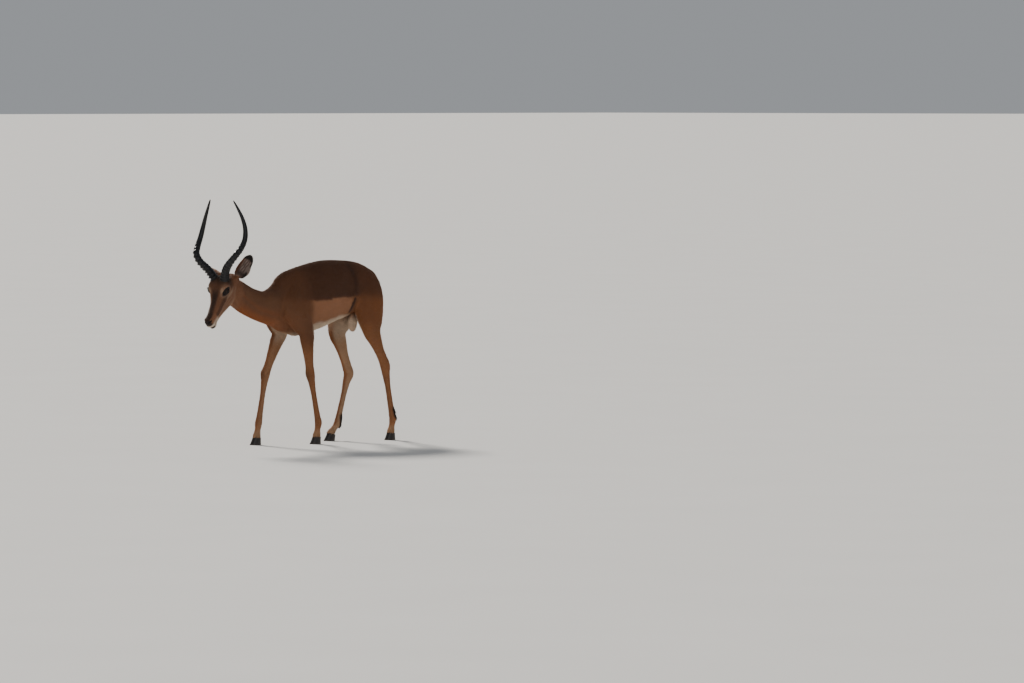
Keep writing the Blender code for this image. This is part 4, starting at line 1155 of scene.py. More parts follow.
        turn((0.0, 1.0, 0.0), rise(z, 0.86, 0.91))
        turn((0.0, 0.80, -0.60), near_place(both, (0.10, -0.22, 0.72), 0.12))
        turn((0.0, 0.55, -0.85), near_place(both, (0.10, 0.27, 0.72), 0.13))
        turn((0.0, 1.0, 0.0), rise(z, 0.66, 0.62) * rise(np.abs(y - 0.02), 0.20, 0.12))
        turn((0.0, 0.15, -1.0), rise(y, -0.26, -0.34) * rise(z, 0.70, 0.62))
        turn((0.0, 0.15, -1.0), rise(y, 0.335, 0.375))
        for joints in LEGS:
            away, down = along_line(p, [np.array(joint) for joint in joints.values()])
            turn(down + np.array((0.0, 0.12, 0.0)), rise(z, 0.62, 0.50) * rise(away, 0.14, 0.08))
        down_neck = unit(NECK_CUT[0] - HEAD_CUT[0])
        turn(down_neck + np.array((0.0, 0.0, -0.18)), rise(y, -0.33, -0.40))
        turn((0.0, 0.1, -1.0), rise(y, 0.385, 0.398) * rise(z, 0.86, 0.80))
        facing_up = self.face_normals[:, 2]
        back = np.tile(np.array((0.0, 1.0, 0.0)), (len(p), 1))
        back[:, 2] = -0.45 * rise(facing_up, 0.4, -0.2) * rise(-self.local[:, 1], 0.20, 0.05)
        back[:, 0] = np.sign(self.local[:, 0]) * 0.18 * rise(facing_up, 0.3, 0.8)
        turn(back @ axes_of(HEAD_FRAME).T, self.head)
        for side, ear in EAR_FRAMES.items():
            turn(axes_of(ear)[:, 2], self.ears[side])
        for _ in range(14):
            way = way * 0.4 + self.skin.spread(way) * 0.6
        way -= self.normals * (way * self.normals).sum(1)[:, None]
        self.lie = way / np.maximum(np.linalg.norm(way, axis=1), 1e-6)[:, None]

    def grow(self):
        """How long each hair is."""
        p, f = self.points, self.face
        z, y = p[:, 2], p[:, 1]
        long = np.full(len(p), 0.0125)
        long += 0.005 * rise(z, 0.68, 0.60) * rise(np.abs(y), 0.24, 0.16)
        long = long * (1 - rise(z, 0.58, 0.44)) + 0.0085 * rise(z, 0.58, 0.44)
        long -= 0.0015 * rise(z, 0.14, 0.09) - 0.0030 * rise(z, 0.068, 0.054)
        short = 0.0052 - 0.0016 * rise(-f[:, 1], 0.14, 0.27)
        long = long * (1 - self.head) + short * self.head
        crown = near_place(f, (0.0, -0.020, 0.078), 0.034) * self.head
        long += crown * 0.008
        long = long * (1 - self.ear) + 0.0060 * self.ear
        long *= 1 - 0.65 * rise(self.past, 0.014, 0.005)
        tail = rise(y, 0.385, 0.400) * near_line(p, TAIL_LINE[1:], 0.030)
        long += tail * (0.014 + 0.018 * rise(z, 0.70, 0.62))
        for side in SIDES:
            long += 0.022 * gland_share(p, side, 0.016) * (self.tint.max(1) < 0.05)
        self.long = long

    def bare(self):
        """Where no hair grows: lid edges, nose pad, nostrils, deep in the ears, and under the hooves' rims."""
        f, p, on = self.face, self.points, self.head > 0.5
        found = (self.past < 0.0022) | ((-f[:, 1] > 0.289) & (f[:, 2] > -0.009) & on)
        found |= (near_line(f, [(0.0105, -0.295, 0.014), (0.0225, -0.279, 0.012)], 0.0045) > 0.5) & on
        for side, ear in self.ears.items():
            local, opening = self.in_ear(side)
            found |= (ear > 0.3) & (opening > 0.3) & (local[:, 2] < 0.020)
            hollow = (np.hypot(local[:, 0], local[:, 1]) < 0.015) & (local[:, 2] < 0.036)
            found |= (ear > 0.1) & (opening > -0.2) & hollow
        for foot in LEGS:
            place, up = coronet_plane(foot)
            height = (p - place) @ up
            under = (height < 0.0012) | ((self.normals @ up < -0.5) & (height < 0.004))
            found |= (np.linalg.norm(p - place, axis=1) < 0.06) & under
        return found


# ---------------------------------------------------------------- the skin's parts and its unwraps
PARTS = {  # the part's chart on the bake map (left, bottom, width, height), and the metres to a radian round it
    "trunk": (0.000, 0.00, 0.500, 0.50, 0.15),
    "neck": (0.500, 0.00, 0.250, 0.30, 0.09),
    "head": (0.000, 0.50, 0.400, 0.50, 0.05),
    "hind_left": (0.500, 0.30, 0.125, 0.70, 0.04),
    "hind_right": (0.625, 0.30, 0.125, 0.70, 0.04),
    "fore_left": (0.750, 0.00, 0.125, 0.70, 0.035),
    "fore_right": (0.875, 0.00, 0.125, 0.70, 0.035),
    "ear_left": (0.400, 0.50, 0.100, 0.25, 0.02),
    "ear_right": (0.400, 0.75, 0.100, 0.25, 0.02),
    "tail": (0.750, 0.70, 0.250, 0.30, 0.02),
}
NAMES = list(PARTS)
TUFTS = {  # the pieces of the coat: spacing and width of the locks, and how steeply they stand
    "coat_chest_left": (0.0023, 0.0015, 0.12),
    "coat_chest_right": (0.0023, 0.0015, 0.12),
    "coat_rump_left": (0.0020, 0.0014, 0.12),
    "coat_rump_right": (0.0020, 0.0014, 0.12),
    "coat_neck": (0.0018, 0.0013, 0.12),
    "coat_head": (0.0017, 0.0009, 0.09),
    "coat_ears": (0.0017, 0.0010, 0.16),
    "coat_forelegs": (0.0021, 0.0013, 0.13),
    "coat_hindlegs": (0.0023, 0.0014, 0.13),
    "coat_tail": (0.0018, 0.0014, 0.20),
}
REGIONS = list(TUFTS)
# The piece of coat that each part carries; the trunk has four, by side and end.
COAT_OF = {
    "neck": "coat_neck", "head": "coat_head", "tail": "coat_tail",
    "ear_left": "coat_ears", "ear_right": "coat_ears",
    "hind_left": "coat_hindlegs", "hind_right": "coat_hindlegs",
    "fore_left": "coat_forelegs", "fore_right": "coat_forelegs",
}
CHEST_TO_RUMP = 0.09  # how far back the trunk's coat changes from chest to rump
PATCH = 0.003  # the size of one lock's own patch on the bake map


def parts_at(points):
    """The number of the part that each place belongs to."""
    x, y, z = points.T
    low = z < np.interp(y, *np.array(UNDERLINE)[:, 1:].T)
    hind, left = y > 0.02, x > 0
    here = {
        "neck": (points - NECK_CUT[0]) @ NECK_CUT[1] > 0.0,
        "hind_left": low & hind & left,
        "hind_right": low & hind & ~left,
        "fore_left": low & ~hind & left,
        "fore_right": low & ~hind & ~left,
        "head": (points - HEAD_CUT[0]) @ HEAD_CUT[1] > 0.0,
        "tail": (y > 0.392) & (np.abs(x) < 0.032) & (z > 0.56) & (z < 0.86),
        "ear_left": ear_share(points, "left") > 0.02,
        "ear_right": ear_share(points, "right") > 0.02,
    }
    part = np.zeros(len(points), int)
    for name, share in here.items():
        part[share] = NAMES.index(name)
    return part


def around(points, name):
    """Where each place lies round its part's middle line, in radians, and along it, from 0 to 1 and in metres."""
    x, y, z = points.T
    if name == "trunk":
        return np.arctan2(x, z - 0.765), rise_flat(y, -0.40, 0.43), y
    if name == "neck":
        middle = np.interp(-y, [-row[0] for row in NECK], [row[1] for row in NECK])
        return np.arctan2(x, z - middle), rise_flat(y, -0.66, -0.24), y
    if name == "head":
        x, y, z = in_frame(points, HEAD_FRAME).T
        return np.arctan2(x, z - 0.012), rise_flat(y, -0.31, 0.10), y
    if name == "tail":
        return np.arctan2(x, y - 0.407), rise_flat(z, 0.56, 0.88), z
    kind, side = name.split("_")
    if kind == "ear":
        x, y, z = in_frame(points, EAR_FRAMES[side]).T
        return np.arctan2(x, y + 0.012), rise_flat(z, -0.01, 0.16), z
    joints = {"hind": HINDLEGS, "fore": FORELEGS}[kind][side]
    height, out, back = np.array(sorted((high, aside, rear) for aside, rear, high in joints.values())).T
    angle = np.arctan2(x - np.interp(z, height, out), y - np.interp(z, height, back))
    return angle, rise_flat(z, 0.0, 0.67), z


def unwrap(skin):
    """Lays the bake map, and the map in metres that the skin's own hair pattern runs along."""
    corners = corner_points(skin.mesh).reshape(-1, 3)
    part = parts_at(skin.points[corners].mean(axis=1))
    bake, strands = np.zeros((len(corners), 3, 2)), np.zeros((len(corners), 3, 2))
    for number, (name, (left, bottom, wide, high, spread)) in enumerate(PARTS.items()):
        mine = np.flatnonzero(part == number)
        angle, along, metres = (values[corners[mine]] for values in around(skin.points, name))
        swing = (angle - angle[:, :1] + math.pi) % (2 * math.pi) - math.pi
        angle = angle[:, :1] + swing
        bake[mine, :, 0] = left + wide * (0.03 + 0.94 * np.clip(angle / (2 * math.pi) + 0.5, -0.03, 1.03))
        bake[mine, :, 1] = bottom + high * (0.02 + 0.96 * along)
        strands[mine, :, 0] = angle * spread + number
        strands[mine, :, 1] = metres
    for label, values in (("OFBake", bake), ("Strands", strands)):
        write(skin.mesh.uv_layers.new(name=label).data, "uv", values)
    return part


def mark(skin, coat):
    """Writes everything the tufts and the materials read onto the skin's mesh."""
    mesh = skin.mesh
    part = unwrap(skin)
    middle = skin.points[corner_points(mesh).reshape(-1, 3)].mean(axis=1)
    region = np.where(middle[:, 0] > 0, 0, 1) + np.where(middle[:, 1] > CHEST_TO_RUMP, 2, 0)
    for name, piece in COAT_OF.items():
        region[part == NAMES.index(name)] = REGIONS.index(piece)
    store_colours(mesh, coat.tint)
    store(mesh, "lie", coat.lie, "vector")
    store(mesh, "long", coat.long)
    store(mesh, "grown", ~coat.bare())
    write(mesh.attributes.new("region", "INT", "FACE").data, "value", region, np.int32)


# ---------------------------------------------------------------- node trees
def fill(tree, made, inputs):
    """Joins each input of a node to a socket, or sets it to a value."""
    for name, value in dict(inputs).items():
        if isinstance(value, bpy.types.NodeSocket):
            tree.links.new(value, made.inputs[name])
        else:
            made.inputs[name].default_value = value
    return made


def node(tree, kind, inputs=(), **settings):
    made = tree.nodes.new(kind)
    for name, value in settings.items():
        setattr(made, name, value)
    return fill(tree, made, inputs)


def calc(tree, operation, *values):
    return node(tree, "ShaderNodeMath", dict(enumerate(values)), operation=operation).outputs[0]


def scaled(tree, vector, factor):
    return node(tree, "ShaderNodeVectorMath", {0: vector, "Scale": factor}, operation="SCALE").outputs[0]


def added(tree, a, b):
    return node(tree, "ShaderNodeVectorMath", {0: a, 1: b}, operation="ADD").outputs[0]


def geometry_tree(name, sockets):
    """A new tree with these inputs besides its geometry; gives the tree and its inputs."""
    tree = bpy.data.node_groups.new(name, "GeometryNodeTree")
    tree.interface.new_socket("Geometry", in_out="INPUT", socket_type="NodeSocketGeometry")
    for label, kind in sockets:
        tree.interface.new_socket(label, in_out="INPUT", socket_type="NodeSocket" + kind)
    tree.interface.new_socket("Geometry", in_out="OUTPUT", socket_type="NodeSocketGeometry")
    return tree, tree.nodes.new("NodeGroupInput").outputs


def finish_tree(tree, given, geometry):
    """Ends a tree with real geometry in its material."""
    real = node(tree, "GeometryNodeRealizeInstances", {0: geometry}).outputs[0]
    done = node(tree, "GeometryNodeSetMaterial", {"Geometry": real, "Material": given["Material"]}).outputs[0]
    tree.links.new(done, tree.nodes.new("NodeGroupOutput").inputs[0])
    return tree


def attribute(tree, name, kind="FLOAT"):
    return node(tree, "GeometryNodeInputNamedAttribute", {"Name": name}, data_type=kind).outputs[0]


def keep(tree, geometry, name, value, kind="FLOAT"):
    """Stores a value under a name on the geometry's points."""
    return node(tree, "GeometryNodeStoreNamedAttribute", {"Geometry": geometry, "Name": name, "Value": value},
                data_type=kind, domain="POINT").outputs[0]


def grown(tree, source, values):
    """The plain mesh that a tree makes of an object, with its inputs set by their identifiers."""
    modifier = source.modifiers.new(tree.name, "NODES")
    modifier.node_group = tree
    sockets = {item.name: item.identifier for item in tree.interface.items_tree if item.in_out == "INPUT"}
    for name, value in values.items():
        modifier[sockets[name]] = value
    source.update_tag()
    mesh = evaluated_mesh(source)
    source.modifiers.remove(modifier)
    return mesh


def tuft_template():
    """One lock: a closed leaf of three sides, widest below its middle, bowed up and back down to its tip."""
    points, faces = [], []
    for along, size in ((0.0, 0.62), (0.42, 1.0)):
        bow = 0.40 * (along - along**2)
        for x, y in ((-0.5, 0.0), (0.5, 0.0), (0.0, 0.065)):
            points.append((x * size, y * size + bow, along))
    points.append((0.0, 0.01, 1.0))
    for k in range(3):
        following = (k + 1) % 3
        faces.append((k, following, 3 + following, 3 + k))
        faces.append((3 + k, 3 + following, 6))
    faces.append((2, 1, 0))
    mesh = facing_out(mesh_of(points, faces))
    across, along = np.array(points).T[[0, 2]]
    store(mesh, "reach", along)
    store(mesh, "patch", np.stack([across + 0.5, along, along * 0], axis=1), "vector")
    return new_object("lock", mesh)


def finish_locks(tree, given, points, lie, up, length):
    """Ends a tree with one lock on every point, lying along its lie and bowed away from the skin."""
    turned = node(tree, "FunctionNodeAxesToRotation", {0: lie, 1: up},
                  primary_axis="Z", secondary_axis="Y").outputs[0]
    size = node(tree, "ShaderNodeCombineXYZ", {0: given["Width"], 1: length, 2: length}).outputs[0]
    lock = node(tree, "GeometryNodeObjectInfo", {"Object": given["Lock"]}).outputs["Geometry"]
    locks = node(tree, "GeometryNodeInstanceOnPoints", {
        "Points": points, "Instance": lock, "Rotation": turned, "Scale": size}).outputs[0]
    return finish_tree(tree, given, locks)


def tuft_tree():
    """Locks over one region of the skin, along the lie of the hair."""
    tree, given = geometry_tree("locks along the lie", [
        ("Lock", "Object"), ("Region", "Int"), ("Spacing", "Float"), ("Width", "Float"), ("Lift", "Float"),
        ("Seed", "Int"), ("Material", "Material")])
    mine = node(tree, "FunctionNodeCompare", {2: attribute(tree, "region", "INT"), 3: given["Region"]},
                data_type="INT", operation="EQUAL").outputs[0]
    density = calc(tree, "DIVIDE", 1.5, calc(tree, "MULTIPLY", given["Spacing"], given["Spacing"]))
    scatter = node(tree, "GeometryNodeDistributePointsOnFaces", {
        "Mesh": given["Geometry"], "Selection": mine, "Distance Min": given["Spacing"], "Density Max": density,
        "Density Factor": attribute(tree, "grown"), "Seed": given["Seed"]}, distribute_method="POISSON").outputs
    up = scatter["Normal"]
    points = keep(tree, scatter["Points"], "root", attribute(tree, "OFBake", "FLOAT_VECTOR"), "FLOAT_VECTOR")
    shade = node(tree, "FunctionNodeRandomValue", {"Seed": 11}, data_type="FLOAT").outputs[1]
    points = keep(tree, points, "shade", shade)
    sunk = scaled(tree, up, -0.0003)
    points = node(tree, "GeometryNodeSetPosition", {"Geometry": points, "Offset": sunk}).outputs[0]
    stray = node(tree, "FunctionNodeRandomValue", {0: (-0.13, -0.13, -0.13), 1: (0.13, 0.13, 0.13), "Seed": 3},
                 data_type="FLOAT_VECTOR").outputs[0]
    lie = added(tree, attribute(tree, "lie", "FLOAT_VECTOR"), scaled(tree, up, given["Lift"]))
    vary = node(tree, "FunctionNodeRandomValue", {2: 0.72, 3: 1.22, "Seed": 7}, data_type="FLOAT").outputs[1]
    length = calc(tree, "MULTIPLY", attribute(tree, "long"), vary)
    return finish_locks(tree, given, points, added(tree, lie, stray), up, length)


def lash_tree():
    """One lock on every point of a path, standing the way the point says."""
    tree, given = geometry_tree("lashes on a path", [
        ("Lock", "Object"), ("Width", "Float"), ("Material", "Material")])
    points = node(tree, "GeometryNodeMeshToPoints", {"Mesh": given["Geometry"]}).outputs[0]
    lie, up = (attribute(tree, name, "FLOAT_VECTOR") for name in ("lie", "up"))
    return finish_locks(tree, given, points, lie, up, attribute(tree, "long"))


def sweep_tree():
    """A tube of varying thickness along a path, ringed where asked. The rings slant, crowd towards the far end,
    fade out there, and stand highest on the front."""
    tree, given = geometry_tree("ringed tube along a path", [
        ("Sides", "Int"), ("Rings", "Float"), ("Ring height", "Float"), ("Ringed share", "Float"),
        ("Front", "Vector"), ("Caps", "Bool"), ("Material", "Material")])
    curve = node(tree, "GeometryNodeMeshToCurve", {0: given["Geometry"]}).outputs[0]
    profile = node(tree, "GeometryNodeCurvePrimitiveCircle", {
        "Resolution": given["Sides"], "Radius": 1.0}).outputs[0]
    tube = node(tree, "GeometryNodeCurveToMesh", {
        "Curve": curve, "Profile Curve": profile, "Scale": attribute(tree, "thick"), "Fill Caps": given["Caps"]})
    normal = node(tree, "GeometryNodeInputNormal").outputs[0]
    front = node(tree, "ShaderNodeVectorMath", {0: normal, 1: given["Front"]},
                 operation="DOT_PRODUCT").outputs["Value"]
    passed = calc(tree, "DIVIDE", attribute(tree, "share"), given["Ringed share"])
    rings = calc(tree, "MULTIPLY", calc(tree, "POWER", passed, 0.80), given["Rings"])
    turn = calc(tree, "ADD", calc(tree, "MULTIPLY", rings, 2 * math.pi), calc(tree, "MULTIPLY", front, 0.9))
    wave = calc(tree, "MULTIPLY_ADD", calc(tree, "COSINE", turn), 0.5, 0.5)
    fading = calc(tree, "SUBTRACT", 1.0, calc(tree, "POWER", calc(tree, "MINIMUM", passed, 1.0), 2.5))
    facing = calc(tree, "MULTIPLY_ADD", calc(tree, "MAXIMUM", front, -0.35), 0.55, 0.55)
    ridge = calc(tree, "MULTIPLY", calc(tree, "MULTIPLY", calc(tree, "POWER", wave, 1.6), fading), facing)
    stored = keep(tree, tube.outputs[0], "ridge", ridge)
    height = calc(tree, "MULTIPLY", calc(tree, "SUBTRACT", attribute(tree, "ridge"), 0.30), given["Ring height"])
    offset = scaled(tree, normal, calc(tree, "MULTIPLY", height, fading))
    moved = node(tree, "GeometryNodeSetPosition", {"Geometry": stored, "Offset": offset}).outputs[0]
    return finish_tree(tree, given, moved)


def path_object(points, thick, closed=False):
    """A path for the tube tree, with its thickness and the share passed at every point."""
    count = len(points)
    edges = [(k, k + 1) for k in range(count - 1)] + ([(count - 1, 0)] if closed else [])
    mesh = mesh_of(points, [], edges)
    store(mesh, "thick", thick)
    store(mesh, "share", np.linspace(0.0, 1.0, count))
    return new_object("path", mesh)


# ---------------------------------------------------------------- materials
def shader_group(name, inputs, outputs):
    group = bpy.data.node_groups.new(name, "ShaderNodeTree")
    for label, kind, value in inputs:
        socket = group.interface.new_socket(label, in_out="INPUT", socket_type="NodeSocket" + kind)
        socket.default_value = value
    for label, kind in outputs:
        group.interface.new_socket(label, in_out="OUTPUT", socket_type="NodeSocket" + kind)
    return group, group.nodes.new("NodeGroupInput").outputs, group.nodes.new("NodeGroupOutput").inputs


def place_of(tree):
    return node(tree, "ShaderNodeTexCoord").outputs["Object"]


def stretched(tree, where, scale):
    return node(tree, "ShaderNodeMapping", {0: where, 3: scale}).outputs[0]


def noise(tree, where, scale, detail=2.0, rough=0.5):
    return node(tree, "ShaderNodeTexNoise", {
        "Vector": where, "Scale": scale, "Detail": detail, "Roughness": rough}).outputs[0]


def spread_to(tree, value, low, high, start, end):
    """A value between low and high, spread evenly from start to end."""
    return node(tree, "ShaderNodeMapRange", {0: value, 1: low, 2: high, 3: start, 4: end}).outputs[0]


def blend(tree, share, a, b):
    """Two colours mixed; each is a socket, or its red, green and blue."""
    a, b = ((*colour, 1.0) if isinstance(colour, tuple) else colour for colour in (a, b))
    return node(tree, "ShaderNodeMix", {0: share, 6: a, 7: b}, data_type="RGBA", clamp_factor=True).outputs[2]


def ramp(tree, value, *stops):
    made = node(tree, "ShaderNodeValToRGB", {0: value})
    while len(made.color_ramp.elements) < len(stops):
        made.color_ramp.elements.new(0.5)
    for element, (place, level) in zip(made.color_ramp.elements, stops):
        element.position = place
        element.color = (level, level, level, 1.0)
    return made.outputs[0]


def uneven_group():
    """Broad and fine unevenness of a natural colour, by place."""
    group, given, result = shader_group("natural unevenness", [
        ("Colour", "Color", (0.5, 0.5, 0.5, 1.0)), ("Strength", "Float", 1.0)], [("Colour", "Color")])
    broad, fine = (noise(group, place_of(group), scale, 3.0) for scale in (9.0, 120.0))
    both = calc(group, "MULTIPLY_ADD", fine, 0.4, calc(group, "MULTIPLY", broad, 0.6))
    toned = scaled(group, given["Colour"], spread_to(group, both, 0.35, 0.65, 1.08, 1.32))
    group.links.new(blend(group, given["Strength"], given["Colour"], toned), result["Colour"])
    return group


def strand_group():
    """Fine flat hair lying along the skin: a height and a shade."""
    group, given, result = shader_group("flat hair", [("Scale", "Float", 1.0)], [
        ("Height", "Float"), ("Shade", "Float")])
    flat = scaled(group, node(group, "ShaderNodeUVMap", uv_map="Strands").outputs[0], given["Scale"])
    hairs, locks = (noise(group, stretched(group, flat, scale), 1.0, 2.0, 0.6)
                    for scale in ((1500.0, 150.0, 1.0), (420.0, 60.0, 1.0)))
    both = calc(group, "MULTIPLY_ADD", hairs, 0.5, calc(group, "MULTIPLY", locks, 0.6))
    group.links.new(both, result["Height"])
    group.links.new(spread_to(group, both, 0.35, 0.75, 0.72, 1.22), result["Shade"])
    return group


def material(name, roughness, gloss, sheen=(0.0, 0.5)):
    made = bpy.data.materials.new(name)
    made.use_nodes = True
    shader = made.node_tree.nodes["Principled BSDF"]
    fill(made.node_tree, shader, {
        "Roughness": roughness, "Specular IOR Level": gloss, "Sheen Weight": sheen[0], "Sheen Roughness": sheen[1]})
    return made, made.node_tree, shader


def group_node(tree, group, inputs):
    made = tree.nodes.new("ShaderNodeGroup")
    made.node_tree = group
    return fill(tree, made, inputs).outputs


def uneven_colour(tree, group, colour, strength):
    return group_node(tree, group, {"Colour": colour, "Strength": strength})["Colour"]


def colour_of(tree, name):
    """A colour kept on the mesh."""
    return node(tree, "ShaderNodeAttribute", attribute_name=name).outputs["Color"]


def value_of(tree, name):
    """A value kept on the mesh."""
    return node(tree, "ShaderNodeAttribute", attribute_name=name).outputs["Fac"]


def set_colour(tree, shader, colour):
    tree.links.new(colour, shader.inputs["Base Color"])


def bump(tree, shader, height, strength, distance):
    made = node(tree, "ShaderNodeBump", {"Height": height, "Strength": strength, "Distance": distance})
    tree.links.new(made.outputs[0], shader.inputs["Normal"])


def skin_material(uneven, strands):
    made, tree, shader = material("coat skin", 0.72, 0.22, sheen=(0.05, 0.4))
    flat = group_node(tree, strands, {"Scale": 1.0})
    colour = uneven_colour(tree, uneven, colour_of(tree, "tint"), 0.7)
    set_colour(tree, shader, scaled(tree, colour, flat["Shade"]))
    bump(tree, shader, flat["Height"], 0.55, 0.0012)
    return made


def hair_material(uneven):
    """Each lock has its own shade, and is darker at its root than at its tip."""
    made, tree, shader = material("coat hair", 0.58, 0.25, sheen=(0.06, 0.35))
    colour = uneven_colour(tree, uneven, colour_of(tree, "tint"), 0.7)
    shade = spread_to(tree, value_of(tree, "shade"), 0.0, 1.0, 0.82, 1.16)
    along = ramp(tree, value_of(tree, "reach"), (0.0, 0.80), (0.45, 0.98), (1.0, 1.16))
    set_colour(tree, shader, scaled(tree, colour, calc(tree, "MULTIPLY", shade, along)))
    bump(tree, shader, noise(tree, place_of(tree), 1400.0, 1.0), 0.25, 0.0004)
    return made


def horn_material(uneven):
    """Near black and worn on the ridges, brown at the root, with grey fibres."""
    made, tree, shader = material("ringed horn", 0.34, 0.34)
    worn = ramp(tree, value_of(tree, "ridge"), (0.25, 0.0), (0.85, 1.0))
    colour = blend(tree, worn, (0.004, 0.004, 0.0045), (0.012, 0.011, 0.011))
    root = ramp(tree, value_of(tree, "share"), (0.0, 0.7), (0.10, 0.0))
    colour = blend(tree, root, colour, (0.026, 0.019, 0.015))
    fibres = noise(tree, place_of(tree), 260.0, 4.0, 0.65)
    colour = blend(tree, ramp(tree, fibres, (0.45, 0.0), (0.75, 0.5)), colour, (0.016, 0.014, 0.013))
    set_colour(tree, shader, uneven_colour(tree, uneven, colour, 1.0))
    tree.links.new(spread_to(tree, fibres, 0.3, 0.7, 0.20, 0.40), shader.inputs["Roughness"])
    bump(tree, shader, fibres, 0.45, 0.0006)
    return made


def hoof_material(uneven):
    """Growth rings round the claw, grain down it, and dust near the ground."""
    made, tree, shader = material("hoof", 0.42, 0.45)
    place = place_of(tree)
    rings = noise(tree, stretched(tree, place, (60.0, 60.0, 700.0)), 1.0, 3.0, 0.6)
    grain = noise(tree, stretched(tree, place, (900.0, 900.0, 50.0)), 1.0, 2.0, 0.6)
    colour = blend(tree, rings, (0.010, 0.008, 0.007), (0.030, 0.023, 0.019))
    height = node(tree, "ShaderNodeSeparateXYZ", {0: place}).outputs[2]
    dusty = ramp(tree, calc(tree, "MULTIPLY", height, 30.0), (0.0, 0.45), (0.35, 0.0))
    colour = blend(tree, dusty, colour, (0.085, 0.064, 0.048))
    set_colour(tree, shader, uneven_colour(tree, uneven, colour, 1.0))
    bump(tree, shader, calc(tree, "ADD", rings, grain), 0.4, 0.0006)
    return made


def eye_material():
    made, tree, shader = material("dark eye", 0.04, 0.22)
    streaks = noise(tree, place_of(tree), 700.0, 3.0, 0.6)
    set_colour(tree, shader, scaled(tree, colour_of(tree, "tint"), spread_to(tree, streaks, 0.3, 0.7, 0.7, 1.3)))
    return made


def two_tone_material(name, roughness, gloss, scale, detail, low, high, relief=0.0):
    """Two tones mixed by place, with a fine relief where asked."""
    made, tree, shader = material(name, roughness, gloss)
    cloud = noise(tree, place_of(tree), scale, detail)
    set_colour(tree, shader, blend(tree, cloud, low, high))
    if relief:
        bump(tree, shader, cloud, 0.3, relief)
    return made


def rim_material():
    return two_tone_material("lid rim", 0.45, 0.3, 900.0, 2.0, (0.006, 0.005, 0.004), (0.016, 0.011, 0.009), 0.0004)


def lash_material():
    return two_tone_material("lash", 0.50, 0.3, 900.0, 2.0, (0.005, 0.004, 0.004), (0.018, 0.012, 0.010))


def floor_material():
    return two_tone_material("pale floor", 0.85, 0.2, 1.3, 3.0, (0.62, 0.61, 0.59), (0.66, 0.65, 0.63))


# ---------------------------------------------------------------- the pieces
HORN_STATIONS = 300
RINGS, RING_HEIGHT = 17.0, 0.0066
EYE_TONES = {
    "ball": (0.020, 0.014, 0.011),
    "iris": (0.022, 0.010, 0.005),
    "middle of the iris": (0.034, 0.015, 0.007),
    "edge of the iris": (0.006, 0.005, 0.005),
    "pupil": (0.004, 0.004, 0.005),
}
RIM_PROUD, LASH_PROUD = 0.0011, 0.0010  # how far the lid's rim and the lashes' roots stand off the ball
RIM_HALF, LASHES = 61, 46


def finish_piece(name, mesh, finish, slot, *nodes):
    """Moves a mesh to the model's frame and sets what it rides on and what it takes the place of. The slot is not
    used.
    """
    mesh.transform(Matrix.Translation(MOVE))
    mesh.materials.clear()
    mesh.materials.append(finish)
    mesh.shade_smooth()
    piece = new_object(name, mesh)
    piece.data.name = name
    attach(piece, "root")
    if nodes:
        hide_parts(*nodes)


def keep_attributes(mesh, names):
    extra = [a.name for a in mesh.attributes if not (a.is_internal or a.is_required or a.name in names)]
    for name in extra:
        if name in mesh.attributes:
            mesh.attributes.remove(mesh.attributes[name])


def tuft_piece(name, skin_object, tree, lock, finish):
    number = REGIONS.index(name)
    spacing, width, lift = TUFTS[name]
    mesh = grown(tree, skin_object, {
        "Lock": lock, "Region": number, "Spacing": spacing, "Width": width, "Lift": lift, "Seed": number + 1,
        "Material": finish})
    lay_patches(mesh, ("tint", "shade", "reach"))
    finish_piece(name, mesh, finish, "coat")


def lay_patches(mesh, kept):
    """Gives every lock its own small patch at its root's place on the unwrapped skin."""
    corners = corner_points(mesh)
    root, patch = (read(mesh.attributes[name].data, "vector")[corners, :2] for name in ("root", "patch"))
    keep_attributes(mesh, kept)
    write(mesh.uv_layers.new(name="OFBake").data, "uv", root + PATCH * (patch - 0.5))


def skin_places(mesh):
    """A function that gives the place on the unwrapped skin nearest to a point of the head."""
    points = read_points(mesh)
    of_point = np.zeros((len(points), 2))
    of_point[corner_points(mesh)] = read(mesh.uv_layers["OFBake"].data, "uv", 2)
    head = np.flatnonzero(points[:, 1] < -0.55)
    tree = KDTree(len(head))
    for k in head:
        tree.insert(points[k], int(k))
    tree.balance()
    return lambda point: of_point[tree.find(point)[1]]


def swept(tree, points, thick, values, closed=False):
    """A tube along a path that is given in the head's frame."""
    source = path_object(placed(points, HEAD_FRAME), thick, closed)
    mesh = grown(tree, source, values)
    bpy.data.objects.remove(source, do_unlink=True)
    return facing_out(mesh)


def horn_piece(side, tree, finish):
    sign = SIDES[side]
    path = curve_through([(sign * out, -ahead, up) for out, ahead, up in HORN], HORN_STATIONS)
    share = np.linspace(0.0, 1.0, HORN_STATIONS)
    thick = HORN_TIP_RADIUS + (HORN_BASE_RADIUS - HORN_TIP_RADIUS) * (1 - share) ** HORN_TAPER
    rounded_tip = np.sqrt(1 - np.clip((share - 0.985) / 0.0155, 0, 1) ** 2)
    sunk_root = 0.50 + 0.50 * rise(share, 0.022, 0.062)
    front = unit(axes_of(HEAD_FRAME) @ np.array((sign * 0.55, -0.80, 0.25)))
    mesh = swept(tree, path, thick * (rounded_tip * sunk_root), {
        "Sides": 44, "Rings": RINGS, "Ring height": RING_HEIGHT, "Ringed share": HORN_RINGED_SHARE,
        "Front": tuple(front), "Caps": True, "Material": finish})
    finish_piece("horn_shell_" + side, mesh, finish, "horn", "horn_" + side)


